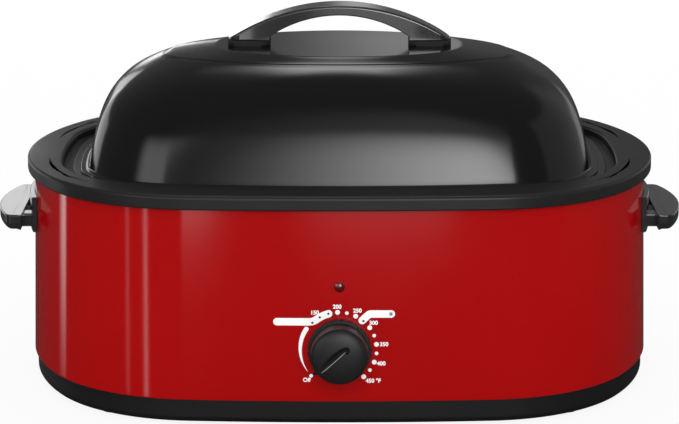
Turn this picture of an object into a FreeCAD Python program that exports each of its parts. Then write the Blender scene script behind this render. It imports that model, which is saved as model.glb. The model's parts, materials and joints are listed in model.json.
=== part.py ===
import FreeCAD, Part

# Electric roaster oven: an oblong countertop cooker with a lift-out pan and rack and a high lift-off lid.
# Millimetres, +Z up, front towards -Y, standing on its feet at z = 0, origin under the middle of its box.
# Every piece is drawn about the oven's own middle and then shifted together by front_shift.

import math
import os

import Sketcher

# Driving dimensions: name, millimetres (or a plain number), meaning.
DIMENSIONS = [
    ("collar_length", 544, "collar, end to end"),
    ("collar_depth", 387.5, "collar, front to back"),
    ("collar_front_crown", 20.9, "how far each long side bows out"),
    ("collar_end_crown", 100.8, "how far each end bows out"),
    ("collar_corner", 144, "corner radius of the collar"),
    ("collar_height", 11.8, "outer skirt of the collar"),
    ("collar_wall", 3, "moulded wall of the collar"),
    ("collar_plate", 3.8, "top plate of the collar"),
    ("collar_round", 2.8, "rounding of the collar's top edges"),
    ("collar_foot_round", 1.2, "rounding under the collar's skirt"),
    ("ring_end", 33, "flat top of the collar at the ends"),
    ("ring_side", 41.75, "flat top of the collar, front and back"),
    ("opening_front_crown", 26, "bow of the opening's long sides"),
    ("opening_end_crown", 18, "bow of the opening's ends"),
    ("opening_corner", 96, "corner radius of the opening"),
    ("opening_step", 8.1, "drop from the collar's top to its ledge"),
    ("ledge_width", 10, "ledge that carries the pan"),
    ("ledge_thickness", 3, "thickness of the ledge"),
    ("foot_height", 3, "foot below the base"),
    ("foot_radius", 12, "foot pad"),
    ("foot_stem_radius", 4, "stem pressed through the base"),
    ("foot_inset_x", 78, "foot centre in from the base's end"),
    ("foot_inset_y", 52, "foot centre in from the base's front"),
    ("base_height", 20.5, "black base below the casing"),
    ("base_wall", 2, "moulded wall of the base"),
    ("base_notch", 2.5, "base set back under the casing"),
    ("base_lip", 8, "base wall that goes up inside the casing"),
    ("base_round", 6, "rounding under the base"),
    ("vent_length", 34, "slot in the base's floor"),
    ("vent_width", 4, "slot in the base's floor"),
    ("casing_height", 160.8, "casing between the base and the collar"),
    ("casing_inset", 6.35, "casing set back under the collar's edge"),
    ("casing_flare", 4.2, "how much the casing widens towards its foot"),
    ("casing_wall", 0.8, "sheet steel of the casing"),
    ("seam_gap", 0.3, "seam between the two halves of the casing"),
    ("foot_edge", 1, "rounding of a foot's lower edge"),
    ("foot_bulb", 1.2, "bulb of a foot beyond its stem"),
    ("foot_bulb_height", 4, "bulb of a foot"),
    ("liner_wall", 0.8, "sheet steel of the heating well"),
    ("liner_flange", 7, "rim of the heating well under the ledge"),
    ("liner_clearance", 1, "well wall outside the ledge"),
    ("liner_floor_gap", 6, "air between the pan and the well's floor"),
    ("liner_round", 12, "rounding at the foot of the well"),
    ("pan_end_gap", 8, "opening's wall to the pan's rim, at the ends"),
    ("pan_side_gap", 4, "opening's wall to the pan's rim, front and back"),
    ("pan_rim_front_crown", 24, "bow of the pan rim's long sides"),
    ("pan_rim_end_crown", 17, "bow of the pan rim's ends"),
    ("pan_rim_corner", 90, "corner radius of the pan's rim"),
    ("pan_rim_width", 8, "flat rim of the pan"),
    ("pan_rim_thickness", 2, "rolled rim of the pan"),
    ("pan_depth", 135, "pan from rim to floor"),
    ("pan_wall", 1.2, "wall of the pan"),
    ("pan_draft", 8, "pan narrower at its floor on each side"),
    ("pan_round", 18, "rounding at the pan's foot"),
    ("lid_end_gap", 7, "lid's rim inside the pan's rim, at the ends"),
    ("lid_side_gap", 2, "lid's rim inside the pan's rim, front and back"),
    ("lid_flange_thickness", 1.2, "rim of the lid"),
    ("lid_flange_end", 6.5, "flat rim beyond the dome, at the ends"),
    ("lid_flange_side", 3, "flat rim beyond the dome, front and back"),
    ("lid_front_crown", 22, "bow of the dome's long sides"),
    ("lid_end_crown", 17, "bow of the dome's ends"),
    ("lid_corner", 80, "corner radius of the dome's foot"),
    ("lid_crease_corner", 60, "corner radius of the crease under the top"),
    ("crease_front_crown", 44, "bow of the crease's long sides"),
    ("crease_end_crown", 30, "bow of the crease's ends"),
    ("lid_wall_rise", 90.4, "dome from its foot to the crease"),
    ("lid_lean", 0.222, "inward lean of the dome's wall, mm per mm"),
    ("lid_end_sweep", 51.1, "inward sweep of the dome's shoulder, at the ends"),
    ("lid_side_sweep", 36.9, "inward sweep of the dome's shoulder, front and back"),
    ("panel_rise", 6.7, "flat top panel above the crease"),
    ("panel_end_band", 39.7, "sloping band between crease and panel, at the ends"),
    ("panel_side_band", 16.9, "sloping band between crease and panel, front and back"),
    ("panel_front_crown", 38, "bow of the panel's long sides"),
    ("panel_end_crown", 30, "bow of the panel's ends"),
    ("panel_corner", 46, "corner radius of the panel"),
    ("lid_wall", 1.2, "sheet of the lid"),
    ("gasket_thickness", 4.3, "heat gasket under each handle foot"),
    ("gasket_lap_x", 0.8, "gasket beyond the handle foot, along the oven"),
    ("gasket_lap_y", 0.4, "gasket beyond the handle foot, across the oven"),
    ("gasket_round", 8, "rounded corners of the gasket"),
    ("gasket_side_crown", 0.8, "bow of the gasket's long sides"),
    ("gasket_end_crown", 1, "bow of the gasket's ends"),
    ("handle_half_span", 96, "lid handle, middle to tip"),
    ("handle_inner_half_span", 60.5, "lid handle, middle to a leg's inner face"),
    ("handle_rise", 30.9, "lid handle, foot to top"),
    ("handle_tip_height", 1.4, "upright edge at the handle's tip"),
    ("handle_leg_height", 3.6, "upright inner face of a leg"),
    ("handle_grip_thickness", 8.5, "lid handle at its middle"),
    ("handle_width", 31, "lid handle, front to back"),
    ("handle_side_crown", 4, "how far the handle narrows to its tips"),
    ("handle_end_crown", 1.5, "bow of the handle's ends"),
    ("handle_bore_depth", 8, "screw bores in the handle's feet"),
    ("handle_bore_end", 1, "bore beyond the screw's tip"),
    ("handle_tip_round", 10, "rounded corners of the handle's tips"),
    ("handle_edge_round", 2.2, "rounding along the handle's edges"),
    ("handle_screw_x", 79, "handle screw from the middle"),
    ("grip_standoff", 7.85, "side grip's inner edge from the casing's head"),
    ("grip_width", 24.5, "side grip, inner edge to outer edge"),
    ("grip_half_length", 61, "side grip, middle to end"),
    ("grip_crown", 12, "bow of the side grip's outer edge"),
    ("grip_drop", 34.3, "top of the side grip below the collar"),
    ("grip_thickness", 13.5, "side grip"),
    ("grip_end_round", 7, "rounded ends of the side grip"),
    ("grip_under_round", 6, "rounded lower edge of the side grip"),
    ("grip_arm_y", 40, "grip arm from the middle"),
    ("grip_arm_width", 15, "grip arm"),
    ("grip_plate_half", 54, "side plate on the casing, middle to end"),
    ("grip_plate_height", 31, "side plate on the casing"),
    ("grip_plate_thickness", 4, "side plate on the casing"),
    ("grip_plate_drop", 3.5, "side plate's foot below the grip's underside"),
    ("dial_rise", 43.9, "knob axis above the casing's foot"),
    ("knob_skirt_radius", 26.2, "knurled skirt of the knob"),
    ("knob_skirt_height", 4, "knurled skirt of the knob"),
    ("knob_skirt_edge", 1, "bevel of the skirt's edge"),
    ("knob_radius", 23.3, "body of the knob"),
    ("knob_height", 25, "knob from its back to its face"),
    ("knob_gap", 1, "air behind the knob"),
    ("knob_taper", 0.4, "how much the knob's body narrows to its shoulder"),
    ("knob_shoulder", 5, "rounded shoulder of the knob"),
    ("knob_crown", 1.4, "dome of the knob's face"),
    ("knob_wall", 2.4, "moulded wall of the knob"),
    ("knob_hub_radius", 6, "hub inside the knob"),
    ("knob_ridge_width", 7, "pointer ridge on the knob's face"),
    ("knob_scoop_depth", 2, "scooped recess beside the ridge"),
    ("knob_scoop_hook", 4, "far corner of the scoop beyond its straight side"),
    ("knob_hub_start", 1, "hub's open end inside the skirt"),
    ("knob_bore_gap", 0.5, "free end of the shaft's bore"),
    ("clip_play", 0.1, "air in the spring clip"),
    ("clip_wall", 1, "spring clip on the hub"),
    ("clip_width", 3, "spring clip on the hub"),
    ("shaft_radius", 3, "thermostat shaft"),
    ("shaft_clearance", 0.1, "running clearance round the shaft"),
    ("shaft_hole_radius", 4.2, "casing hole for the shaft"),
    ("lamp_rise", 96.5, "pilot lamp above the casing's foot"),
    ("lamp_radius", 4.25, "pilot lamp lens"),
    ("lamp_dome", 1.8, "lens proud of the casing"),
    ("lamp_stem", 3, "stem of the lens inside its holder"),
    ("lamp_lip", 0.3, "edge of the lens over its hole"),
    ("lamp_edge", 0.5, "upright edge of the lens"),
    ("lamp_holder_wall", 1.5, "wall of the lamp holder beyond the lens"),
    ("lamp_gap", 16, "air between the lamp holder and the bulb's strap"),
    ("strap_wall", 0.8, "strap round the bulb"),
    ("strap_height", 8, "strap round the bulb"),
    ("capillary_entry", 2, "capillary into the bulb"),
    ("thermostat_height", 34, "thermostat body"),
    ("thermostat_gap", 12.4, "air between the thermostat and the heating band"),
    ("bracket_thickness", 1.5, "thermostat bracket"),
    ("bracket_width", 46, "thermostat bracket"),
    ("bracket_gap", 0.3, "air between the casing and the bracket"),
    ("bracket_screw_inset", 7, "screw in from the bracket's end"),
    ("tab_length", 7, "terminals of the thermostat"),
    ("tab_width", 6.3, "terminals of the thermostat"),
    ("tab_thickness", 0.8, "terminals of the thermostat"),
    ("bulb_radius", 2.5, "sensing bulb"),
    ("bulb_length", 46, "sensing bulb"),
    ("bulb_rise", 17, "lower end of the bulb above the heating band"),
    ("capillary_radius", 1, "capillary tube"),
    ("band_height", 14, "heating band"),
    ("band_thickness", 2, "heating band"),
    ("band_gap", 0.5, "between the well's rounding and the heating band"),
    ("insulation_gap", 0.3, "between the heating band and the blanket"),
    ("insulation_thickness", 6, "glass-fibre blanket"),
    ("insulation_rise", 3.5, "lower edge of the blanket above the well's floor"),
    ("insulation_head_gap", 10, "upper edge of the blanket below the well's rim"),
    ("window_width", 70, "window in the blanket behind the dial"),
    ("window_margin", 6, "window above the sensing bulb"),
    ("floor_blanket", 7, "blanket under the well"),
    ("shield_thickness", 0.8, "heat shield under the blanket"),
    ("shield_inset", 22, "shield set in from the well"),
    ("shield_edge", 6, "edge turned down round the heat shield"),
    ("shield_post_radius", 5, "post between base and shield"),
    ("shield_post_inset_x", 50, "post in from the shield's end"),
    ("shield_post_inset_y", 19, "post in from the shield's side"),
    ("gland_radius", 9, "cord gland, flange radius 3 mm more"),
    ("gland_bore", 4, "bore of the cord gland"),
    ("gland_reach", 14, "gland behind the casing"),
    ("gland_seat", 1.5, "neck of the gland in its hole, in from the gland's body"),
    ("gland_inside", 5, "gland inside the casing"),
    ("gland_barb", 2, "neck of the gland inside the casing"),
    ("gland_stand", 0.7, "flange off the casing's middle line, which bows"),
    ("gland_flange_thickness", 2.3, "flange of the gland"),
    ("gland_tip_wall", 2.2, "wall at the gland's tip"),
    ("gland_rise", 28.5, "gland above the casing's foot"),
    ("block_length", 42, "terminal block"),
    ("block_width", 20, "terminal block"),
    ("block_height", 16, "terminal block"),
    ("block_gap", 20, "terminal block in from the casing's rear wall"),
    ("fuse_radius", 3.2, "thermal fuse in its sleeve"),
    ("fuse_length", 24, "thermal fuse in its sleeve"),
    ("fuse_offset", 60, "thermal fuse from the terminal block, both ways"),
    ("lead_radius", 1.3, "insulated lead"),
    ("lead_clearance", 0.4, "wire way round a lead"),
    ("lead_run", 60, "straight run of a lead at each end"),
    ("lead_bend", 6, "bends of a lead"),
    ("tie_bolt_radius", 2.5, "tie bolts between base and collar"),
    ("tie_bolt_end", 85.5, "tie bolt in from midway between the ends of collar and opening"),
    ("tie_bolt_side", 19.9, "tie bolt in from midway between the sides of collar and opening"),
    ("tie_boss_radius", 5.5, "boss for a tie bolt"),
    ("tie_boss_drop", 14, "boss below the collar's plate"),
    ("screw_radius", 2, "shank of the screws"),
    ("screw_head_radius", 3.8, "head of the screws"),
    ("screw_head_height", 2.4, "head of the screws"),
    ("screw_clearance", 0.2, "hole round a screw"),
    ("head_gap", 0.15, "between a screw's head and the curved wall under it"),
    ("nut_height", 2.6, "nuts of the thermostat's screws"),
    ("liner_screw_radius", 1.5, "screws of the well's rim"),
    ("liner_screw_head", 1.6, "head of those screws"),
    ("liner_screw_head_radius", 2.55, "head of those screws"),
    ("liner_screw_cover", 1.2, "ledge left over those screws' tips"),
    ("liner_screw_inset", 5.5, "those screws outside the opening's wall line, inwards"),
    ("grip_screw_length", 11, "screws of the side grips"),
    ("rack_gap", 28, "rack's frame inside the foot of the pan"),
    ("rack_frame_radius", 2.4, "wire of the rack's frame"),
    ("rack_wire_radius", 1.6, "cross wires of the rack"),
    ("rack_pitch", 20, "spacing of the cross wires"),
    ("rack_height", 16, "rack frame above the pan's floor"),
    ("rack_lift_height", 62, "lifting loops of the rack"),
    ("rack_lift_half", 42, "lifting loop, middle to side"),
    ("rack_lift_bend", 12, "bends of a lifting loop"),
    ("rack_loop_radius", 2, "wire of the lifting loops"),
    ("seat_gap", 0.3, "between pieces that rest on each other and lift off"),
    ("fit_gap", 0.2, "between fixed curved pieces"),
    ("gland_flange", 3, "flange of the cord gland"),
]


class Size:
    """A length with its value and the spreadsheet expression that gives it."""

    def __init__(self, value, text):
        self.value = float(value)
        self.text = text

    def __add__(self, other):
        other = as_size(other)
        return Size(self.value + other.value, f"({self.text} + {other.text})")

    def __sub__(self, other):
        other = as_size(other)
        return Size(self.value - other.value, f"({self.text} - {other.text})")

    def __mul__(self, other):
        other = as_size(other)
        return Size(self.value * other.value, f"({self.text} * {other.text})")

    def __truediv__(self, other):
        other = as_size(other)
        return Size(self.value / other.value, f"({self.text} / {other.text})")

    def __neg__(self):
        return Size(-self.value, f"(-1 * {self.text})")

    def __radd__(self, other):
        return as_size(other) + self

    def __rsub__(self, other):
        return as_size(other) - self

    def __rmul__(self, other):
        return as_size(other) * self


def as_size(number):
    """Let a plain number stand where a Size is asked for."""
    return number if isinstance(number, Size) else Size(number, repr(float(number)))


class Dimensions:
    """The driving dimensions, each readable as an attribute."""

    def __init__(self, document):
        self.sheet = document.addObject("Spreadsheet::Sheet", "sizes")
        for row, (name, number, meaning) in enumerate(DIMENSIONS, start=1):
            self.sheet.set(f"A{row}", name)
            self.sheet.set(f"B{row}", str(number))
            self.sheet.set(f"C{row}", meaning)
            self.sheet.setAlias(f"B{row}", name)
            setattr(self, name, Size(number, f"sizes.{name}"))


doc = FreeCAD.newDocument("electric_roaster_oven")
dim = Dimensions(doc)
doc.recompute()
nodes = []

ZERO = as_size(0)
FACING_FRONT = FreeCAD.Rotation(FreeCAD.Vector(1, 0, 0), 90)
FACING_BACK = FreeCAD.Rotation(FreeCAD.Vector(1, 0, 0), -90)
UPSIDE_DOWN = FreeCAD.Rotation(FreeCAD.Vector(1, 0, 0), 180)
UPRIGHT = FreeCAD.Rotation()

# Levels above the table.
base_foot = dim.foot_height
casing_foot = base_foot + dim.base_height
collar_foot = casing_foot + dim.casing_height
dial_height = casing_foot + dim.dial_rise
lamp_height = casing_foot + dim.lamp_rise
gland_height = casing_foot + dim.gland_rise
grip_top = collar_foot - dim.grip_drop
grip_under = grip_top - dim.grip_thickness
collar_top = collar_foot + dim.collar_height
plate_under = collar_top - dim.collar_plate
ledge_top = collar_top - dim.opening_step
ledge_under = ledge_top - dim.ledge_thickness
pan_rim_under = ledge_top + dim.seat_gap
pan_rim_top = pan_rim_under + dim.pan_rim_thickness
pan_floor_under = pan_rim_top - dim.pan_depth
pan_floor_top = pan_floor_under + dim.pan_wall
liner_floor_top = pan_floor_under - dim.liner_floor_gap
liner_floor_under = liner_floor_top - dim.liner_wall
shield_top = liner_floor_under - dim.floor_blanket
shield_under = shield_top - dim.shield_thickness
base_floor_top = base_foot + dim.base_wall
band_foot = liner_floor_under + dim.liner_round + dim.band_gap
bulb_foot = band_foot + dim.band_height + dim.bulb_rise
blanket_foot = liner_floor_under + dim.insulation_rise
blanket_head = ledge_under - dim.liner_wall - dim.insulation_head_gap
lid_flange_under = pan_rim_top + dim.seat_gap
lid_foot = lid_flange_under + dim.lid_flange_thickness
lid_crease = lid_foot + dim.lid_wall_rise
seat_floor = lid_crease + dim.panel_rise
handle_foot = seat_floor + dim.gasket_thickness
rack_level = pan_floor_top + dim.rack_height


# ---------------------------------------------------------------- plan outlines


class Plan:
    """A plan outline of three arcs a quarter: bowed side, round corner, bowed end."""

    def __init__(self, half_length, half_depth, corner, front_bow, end_bow):
        self.half_length = as_size(half_length)
        self.half_depth = as_size(half_depth)
        self.corner = as_size(corner)
        self.front_bow = as_size(front_bow)
        self.end_bow = as_size(end_bow)

    def grown(self, by):
        """The parallel outline that lies further out by that much."""
        return Plan(
            self.half_length + by,
            self.half_depth + by,
            self.corner + by,
            self.front_bow + by,
            self.end_bow + by,
        )

    def joints(self):
        """The corner arc's centre and the directions in which it meets the other two."""
        side = self.half_depth.value - self.front_bow.value
        end = self.half_length.value - self.end_bow.value
        apart = math.hypot(side, end)
        to_side = self.front_bow.value - self.corner.value
        to_end = self.end_bow.value - self.corner.value
        along = (to_side**2 - to_end**2 + apart**2) / (2 * apart)
        off = math.sqrt(to_side**2 - along**2)
        unit_x = end / apart
        unit_y = -side / apart
        centre_x = along * unit_x - off * unit_y
        centre_y = side + along * unit_y + off * unit_x
        if centre_x < 0:
            centre_x = along * unit_x + off * unit_y
            centre_y = side + along * unit_y - off * unit_x
        meets_side = math.atan2(centre_y - side, centre_x)
        meets_end = math.atan2(centre_y, centre_x - end)
        return centre_x, centre_y, meets_side, meets_end

    def front_at(self, x):
        """Distance of the front bow from the middle line at that x."""
        bow = self.front_bow.value
        return self.half_depth.value - bow + math.sqrt(bow**2 - x**2)


def bow_radius(half_chord, crown):
    """Radius of an arc that rises by crown over twice the half chord."""
    return (half_chord * half_chord + crown * crown) / (crown * 2)


def plan_of(length, depth, corner, front_crown, end_crown):
    """Outline from its overall length and depth and the crown of its sides and ends."""
    half_length = length / 2
    half_depth = depth / 2
    return Plan(
        half_length,
        half_depth,
        corner,
        bow_radius(half_length, front_crown),
        bow_radius(half_depth, end_crown),
    )


collar_plan = plan_of(
    dim.collar_length, dim.collar_depth, dim.collar_corner, dim.collar_front_crown, dim.collar_end_crown
)
opening_length = dim.collar_length - dim.ring_end * 2
opening_depth = dim.collar_depth - dim.ring_side * 2
opening_plan = plan_of(
    opening_length, opening_depth, dim.opening_corner, dim.opening_front_crown, dim.opening_end_crown
)
pan_rim_plan = plan_of(
    opening_length - dim.pan_end_gap * 2,
    opening_depth - dim.pan_side_gap * 2,
    dim.pan_rim_corner,
    dim.pan_rim_front_crown,
    dim.pan_rim_end_crown,
)
casing_head_plan = collar_plan.grown(-dim.casing_inset)
casing_foot_plan = casing_head_plan.grown(dim.casing_flare)
base_plan = casing_foot_plan.grown(-dim.base_notch)
ledge_plan = opening_plan.grown(-dim.ledge_width)
liner_plan = ledge_plan.grown(dim.liner_clearance)
liner_outer_plan = liner_plan.grown(dim.liner_wall)
pan_plan = pan_rim_plan.grown(-dim.pan_rim_width)
pan_foot_plan = pan_plan.grown(-dim.pan_draft)
lid_flange_length = pan_rim_plan.half_length * 2 - dim.lid_end_gap * 2
lid_flange_depth = pan_rim_plan.half_depth * 2 - dim.lid_side_gap * 2
lid_flange_plan = plan_of(
    lid_flange_length, lid_flange_depth, dim.lid_corner, dim.lid_front_crown, dim.lid_end_crown
)
rack_plan = pan_foot_plan.grown(-dim.rack_gap)
shield_plan = liner_outer_plan.grown(-dim.shield_inset)
grip_inner = casing_head_plan.half_length + dim.grip_standoff
grip_reach = grip_inner + dim.grip_width
blanket_inner_plan = liner_outer_plan.grown(dim.fit_gap + dim.band_thickness + dim.insulation_gap)
blanket_outer_plan = blanket_inner_plan.grown(dim.insulation_thickness)


def casing_plan_at(level):
    """Outer outline of the flared casing at a height above the table."""
    share = (collar_foot - level) / dim.casing_height
    return casing_head_plan.grown(dim.casing_flare * share)


def casing_front_at(level):
    """Distance of the casing's outer face from the middle at the front, at a height."""
    return casing_plan_at(level).half_depth


# ---------------------------------------------------------------- building helpers

front_reach = casing_front_at(dial_height) + dim.knob_gap + dim.knob_height
rear_reach = casing_front_at(gland_height) + dim.gland_reach
front_shift = (front_reach - rear_reach) / 2


def bind(thing, name, size):
    """Drive one property by the spreadsheet."""
    thing.setExpression(name, as_size(size).text)


def place(thing, x, y, z, rotation=UPRIGHT, shifted=True):
    """Put a sub-part at x, y, z from the oven's middle; top-level pieces also take the common shift."""
    y = as_size(y) + front_shift if shifted else as_size(y)
    thing.Placement = FreeCAD.Placement(
        FreeCAD.Vector(as_size(x).value, y.value, as_size(z).value), rotation
    )
    bind(thing, "Placement.Base.x", x)
    bind(thing, "Placement.Base.y", y)
    bind(thing, "Placement.Base.z", z)


def node(label, thing, x=ZERO, y=ZERO, z=ZERO, rotation=UPRIGHT):
    """Name a finished sub-part and put it in its place."""
    thing.Label = label
    place(thing, x, y, z, rotation)
    nodes.append((label, thing))
    return thing


def new_body(name):
    return doc.addObject("PartDesign::Body", name + "_body")


def new_sketch(body, name, plane="XY_Plane", offset=ZERO):
    """A sketch on one of the body's own planes, moved along that plane's normal."""
    if body is None:
        sketch = doc.addObject("Sketcher::SketchObject", name)
        bind(sketch, "Placement.Base.z", offset)
        return sketch
    sketch = body.newObject("Sketcher::SketchObject", name)
    support = [feature for feature in body.Origin.OriginFeatures if feature.Role == plane][0]
    sketch.AttachmentSupport = [(support, "")]
    sketch.MapMode = "FlatFace"
    bind(sketch, "AttachmentOffset.Base.z", offset)
    return sketch


def constrain(sketch, kind, places, size):
    """Add a driving constraint bound to the spreadsheet."""
    size = as_size(size)
    index = sketch.addConstraint(Sketcher.Constraint(kind, *places, size.value))
    sketch.setExpression(f"Constraints[{index}]", size.text)


def arc_about(x, y, radius, start, end):
    circle = Part.Circle(FreeCAD.Vector(x, y, 0), FreeCAD.Vector(0, 0, 1), radius)
    return Part.ArcOfCircle(circle, start, end)


def add_plan(sketch, plan):
    """Draw the eight tangent arcs of a plan outline into a sketch, fully constrained."""
    corner_x, corner_y, meets_side, meets_end = plan.joints()
    side_centre = plan.front_bow.value - plan.half_depth.value
    end_centre = plan.half_length.value - plan.end_bow.value
    corner = plan.corner.value
    turn = math.pi
    first = sketch.GeometryCount
    sketch.addGeometry(
        [
            arc_about(end_centre, 0, plan.end_bow.value, -meets_end, meets_end),
            arc_about(corner_x, corner_y, corner, meets_end, meets_side),
            arc_about(0, -side_centre, plan.front_bow.value, meets_side, turn - meets_side),
            arc_about(-corner_x, corner_y, corner, turn - meets_side, turn - meets_end),
            arc_about(-end_centre, 0, plan.end_bow.value, turn - meets_end, turn + meets_end),
            arc_about(-corner_x, -corner_y, corner, turn + meets_end, turn + meets_side),
            arc_about(0, side_centre, plan.front_bow.value, turn + meets_side, 2 * turn - meets_side),
            arc_about(corner_x, -corner_y, corner, 2 * turn - meets_side, 2 * turn - meets_end),
        ],
        False,
    )
    right, back, left, front = first, first + 2, first + 4, first + 6
    joins = [Sketcher.Constraint("Tangent", first + i, 2, first + (i + 1) % 8, 1) for i in range(8)]
    on_axes = [Sketcher.Constraint("PointOnObject", arc, 3, -2) for arc in (back, front)]
    on_axes += [Sketcher.Constraint("PointOnObject", arc, 3, -1) for arc in (right, left)]
    sketch.addConstraint(joins + on_axes)
    constrain(sketch, "Radius", (right,), plan.end_bow)
    constrain(sketch, "Radius", (back,), plan.front_bow)
    constrain(sketch, "Radius", (first + 1,), plan.corner)
    same = [(right, left), (back, front)]
    same += [(first + 1, first + corner) for corner in (3, 5, 7)]
    sketch.addConstraint([Sketcher.Constraint("Equal", one, other) for one, other in same])
    end_offset = plan.half_length - plan.end_bow
    side_offset = plan.front_bow - plan.half_depth
    constrain(sketch, "DistanceX", (-1, 1, right, 3), end_offset)
    constrain(sketch, "DistanceX", (left, 3, -1, 1), end_offset)
    constrain(sketch, "DistanceY", (back, 3, -1, 1), side_offset)
    constrain(sketch, "DistanceY", (-1, 1, front, 3), side_offset)
    return sketch


def plan_sketch(body, name, plan, offset=ZERO):
    return add_plan(new_sketch(body, name, "XY_Plane", offset), plan)


def ring_sketch(body, name, outer, inner, offset=ZERO):
    sketch = plan_sketch(body, name, outer, offset)
    return add_plan(sketch, inner)


def add_circle(sketch, x, y, radius):
    x, y = as_size(x), as_size(y)
    middle = FreeCAD.Vector(x.value, y.value, 0)
    circle = Part.Circle(middle, FreeCAD.Vector(0, 0, 1), as_size(radius).value)
    index = sketch.addGeometry(circle, False)
    constrain(sketch, "Radius", (index,), radius)
    constrain(sketch, "DistanceX", (-1, 1, index, 3), x)
    constrain(sketch, "DistanceY", (-1, 1, index, 3), y)


def circles_sketch(body, name, spots, radius, plane="XY_Plane", offset=ZERO):
    """Equal circles at the given x, y places."""
    sketch = new_sketch(body, name, plane, offset)
    for x, y in spots:
        add_circle(sketch, x, y, radius)
    return sketch


def add_polygon(sketch, points):
    """A closed run of straight lines whose corners are each bound to the spreadsheet."""
    corners = [(as_size(x), as_size(y)) for x, y in points]
    first = sketch.GeometryCount
    count = len(corners)
    for i, (x, y) in enumerate(corners):
        next_x, next_y = corners[(i + 1) % count]
        start = FreeCAD.Vector(x.value, y.value, 0)
        end = FreeCAD.Vector(next_x.value, next_y.value, 0)
        sketch.addGeometry(Part.LineSegment(start, end), False)
    for i in range(count):
        sketch.addConstraint(Sketcher.Constraint("Coincident", first + i, 2, first + (i + 1) % count, 1))
    for i, (x, y) in enumerate(corners):
        constrain(sketch, "DistanceX", (-1, 1, first + i, 1), x)
        constrain(sketch, "DistanceY", (-1, 1, first + i, 1), y)


def polygon_sketch(body, name, points, plane="XY_Plane", offset=ZERO):
    sketch = new_sketch(body, name, plane, offset)
    add_polygon(sketch, points)
    return sketch


def box_points(x, y, length, depth):
    """Corners of a rectangle about x, y."""
    x, y = as_size(x), as_size(y)
    half_length, half_depth = as_size(length) / 2, as_size(depth) / 2
    return [
        (x - half_length, y - half_depth),
        (x + half_length, y - half_depth),
        (x + half_length, y + half_depth),
        (x - half_length, y + half_depth),
    ]


def pad(body, name, sketch, length, reverse=False):
    feature = body.newObject("PartDesign::Pad", name)
    feature.Profile = sketch
    feature.Reversed = reverse
    bind(feature, "Length", length)
    doc.recompute()
    return feature


def checked_cut(body, feature, before):
    """A cut that takes nothing away points the wrong way or misses, and is an error here."""
    doc.recompute()
    if feature.Shape.isNull() or feature.Shape.Volume > before - 1e-3:
        raise RuntimeError(f"{feature.Name} cuts nothing")
    return feature


def pocket(body, name, sketch, depth=None, upward=True):
    """Cut a sketch away, upward from its plane or downward, to a depth or through everything."""
    before = body.Shape.Volume
    feature = body.newObject("PartDesign::Pocket", name)
    feature.Profile = sketch
    feature.Reversed = upward
    if depth is None:
        feature.Type = "ThroughAll"
    else:
        bind(feature, "Length", depth)
    return checked_cut(body, feature, before)


def loft(body, name, sketches, ruled=True):
    feature = body.newObject("PartDesign::AdditiveLoft", name)
    feature.Profile = sketches[0]
    feature.Sections = sketches[1:]
    feature.Ruled = ruled
    doc.recompute()
    return feature


def loft_cut(body, name, sketches, ruled=True):
    before = body.Shape.Volume
    feature = body.newObject("PartDesign::SubtractiveLoft", name)
    feature.Profile = sketches[0]
    feature.Sections = sketches[1:]
    feature.Ruled = ruled
    return checked_cut(body, feature, before)


def revolve(body, name, sketch):
    feature = body.newObject("PartDesign::Revolution", name)
    feature.Profile = sketch
    feature.ReferenceAxis = (sketch, ["V_Axis"])
    feature.Angle = 360
    doc.recompute()
    return feature


def edges_where(feature, test):
    """Names of a feature's edges that pass a test."""
    return [f"Edge{i}" for i, edge in enumerate(feature.Shape.Edges, start=1) if test(edge)]


def flat_at(level, tolerance=1e-3):
    """Test for an edge that lies wholly at one height."""
    level = as_size(level).value

    def test(edge):
        box = edge.BoundBox
        return abs(box.ZMin - level) < tolerance and abs(box.ZMax - level) < tolerance

    return test


def fillet(body, name, feature, radius, test):
    rounded = body.newObject("PartDesign::Fillet", name)
    rounded.Base = (feature, edges_where(feature, test))
    bind(rounded, "Radius", radius)
    doc.recompute()
    return rounded


def round_tub(body, name, tub, radius, wall):
    """Round the foot of a thin tub that stands on z = 0, its inside corner before its outside one."""
    inner = fillet(body, name + "_floor_round", tub, radius - wall, flat_at(wall))
    return fillet(body, name + "_foot_round", inner, radius, flat_at(0))


def cylinder(name, radius, height, x, y, z, rotation=UPRIGHT):
    thing = doc.addObject("Part::Cylinder", name)
    bind(thing, "Radius", radius)
    bind(thing, "Height", height)
    place(thing, x, y, z, rotation, shifted=False)
    return thing


def fuse(name, things):
    thing = doc.addObject("Part::MultiFuse", name)
    thing.Shapes = things
    return thing


def cut(name, base, tool):
    thing = doc.addObject("Part::Cut", name)
    thing.Base = base
    thing.Tool = tool
    return thing


def group(name, things):
    """Identical pieces kept as separate solids of one node."""
    thing = doc.addObject("Part::Compound", name)
    thing.Links = things
    return thing


def screw(name, x, y, z, rotation, length, radius=None):
    """A pan-head screw: the head's bearing face at x, y, z and the shank along the rotated Z."""
    radius = dim.screw_radius if radius is None else radius
    shank = cylinder(name + "_shank", radius, length, x, y, z, rotation)
    down = rotation.multVec(FreeCAD.Vector(0, 0, -1))
    back = dim.screw_head_height
    head = cylinder(
        name + "_head",
        dim.screw_head_radius,
        back,
        as_size(x) + back * down.x,
        as_size(y) + back * down.y,
        as_size(z) + back * down.z,
        rotation,
    )
    return fuse(name, [shank, head])


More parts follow.
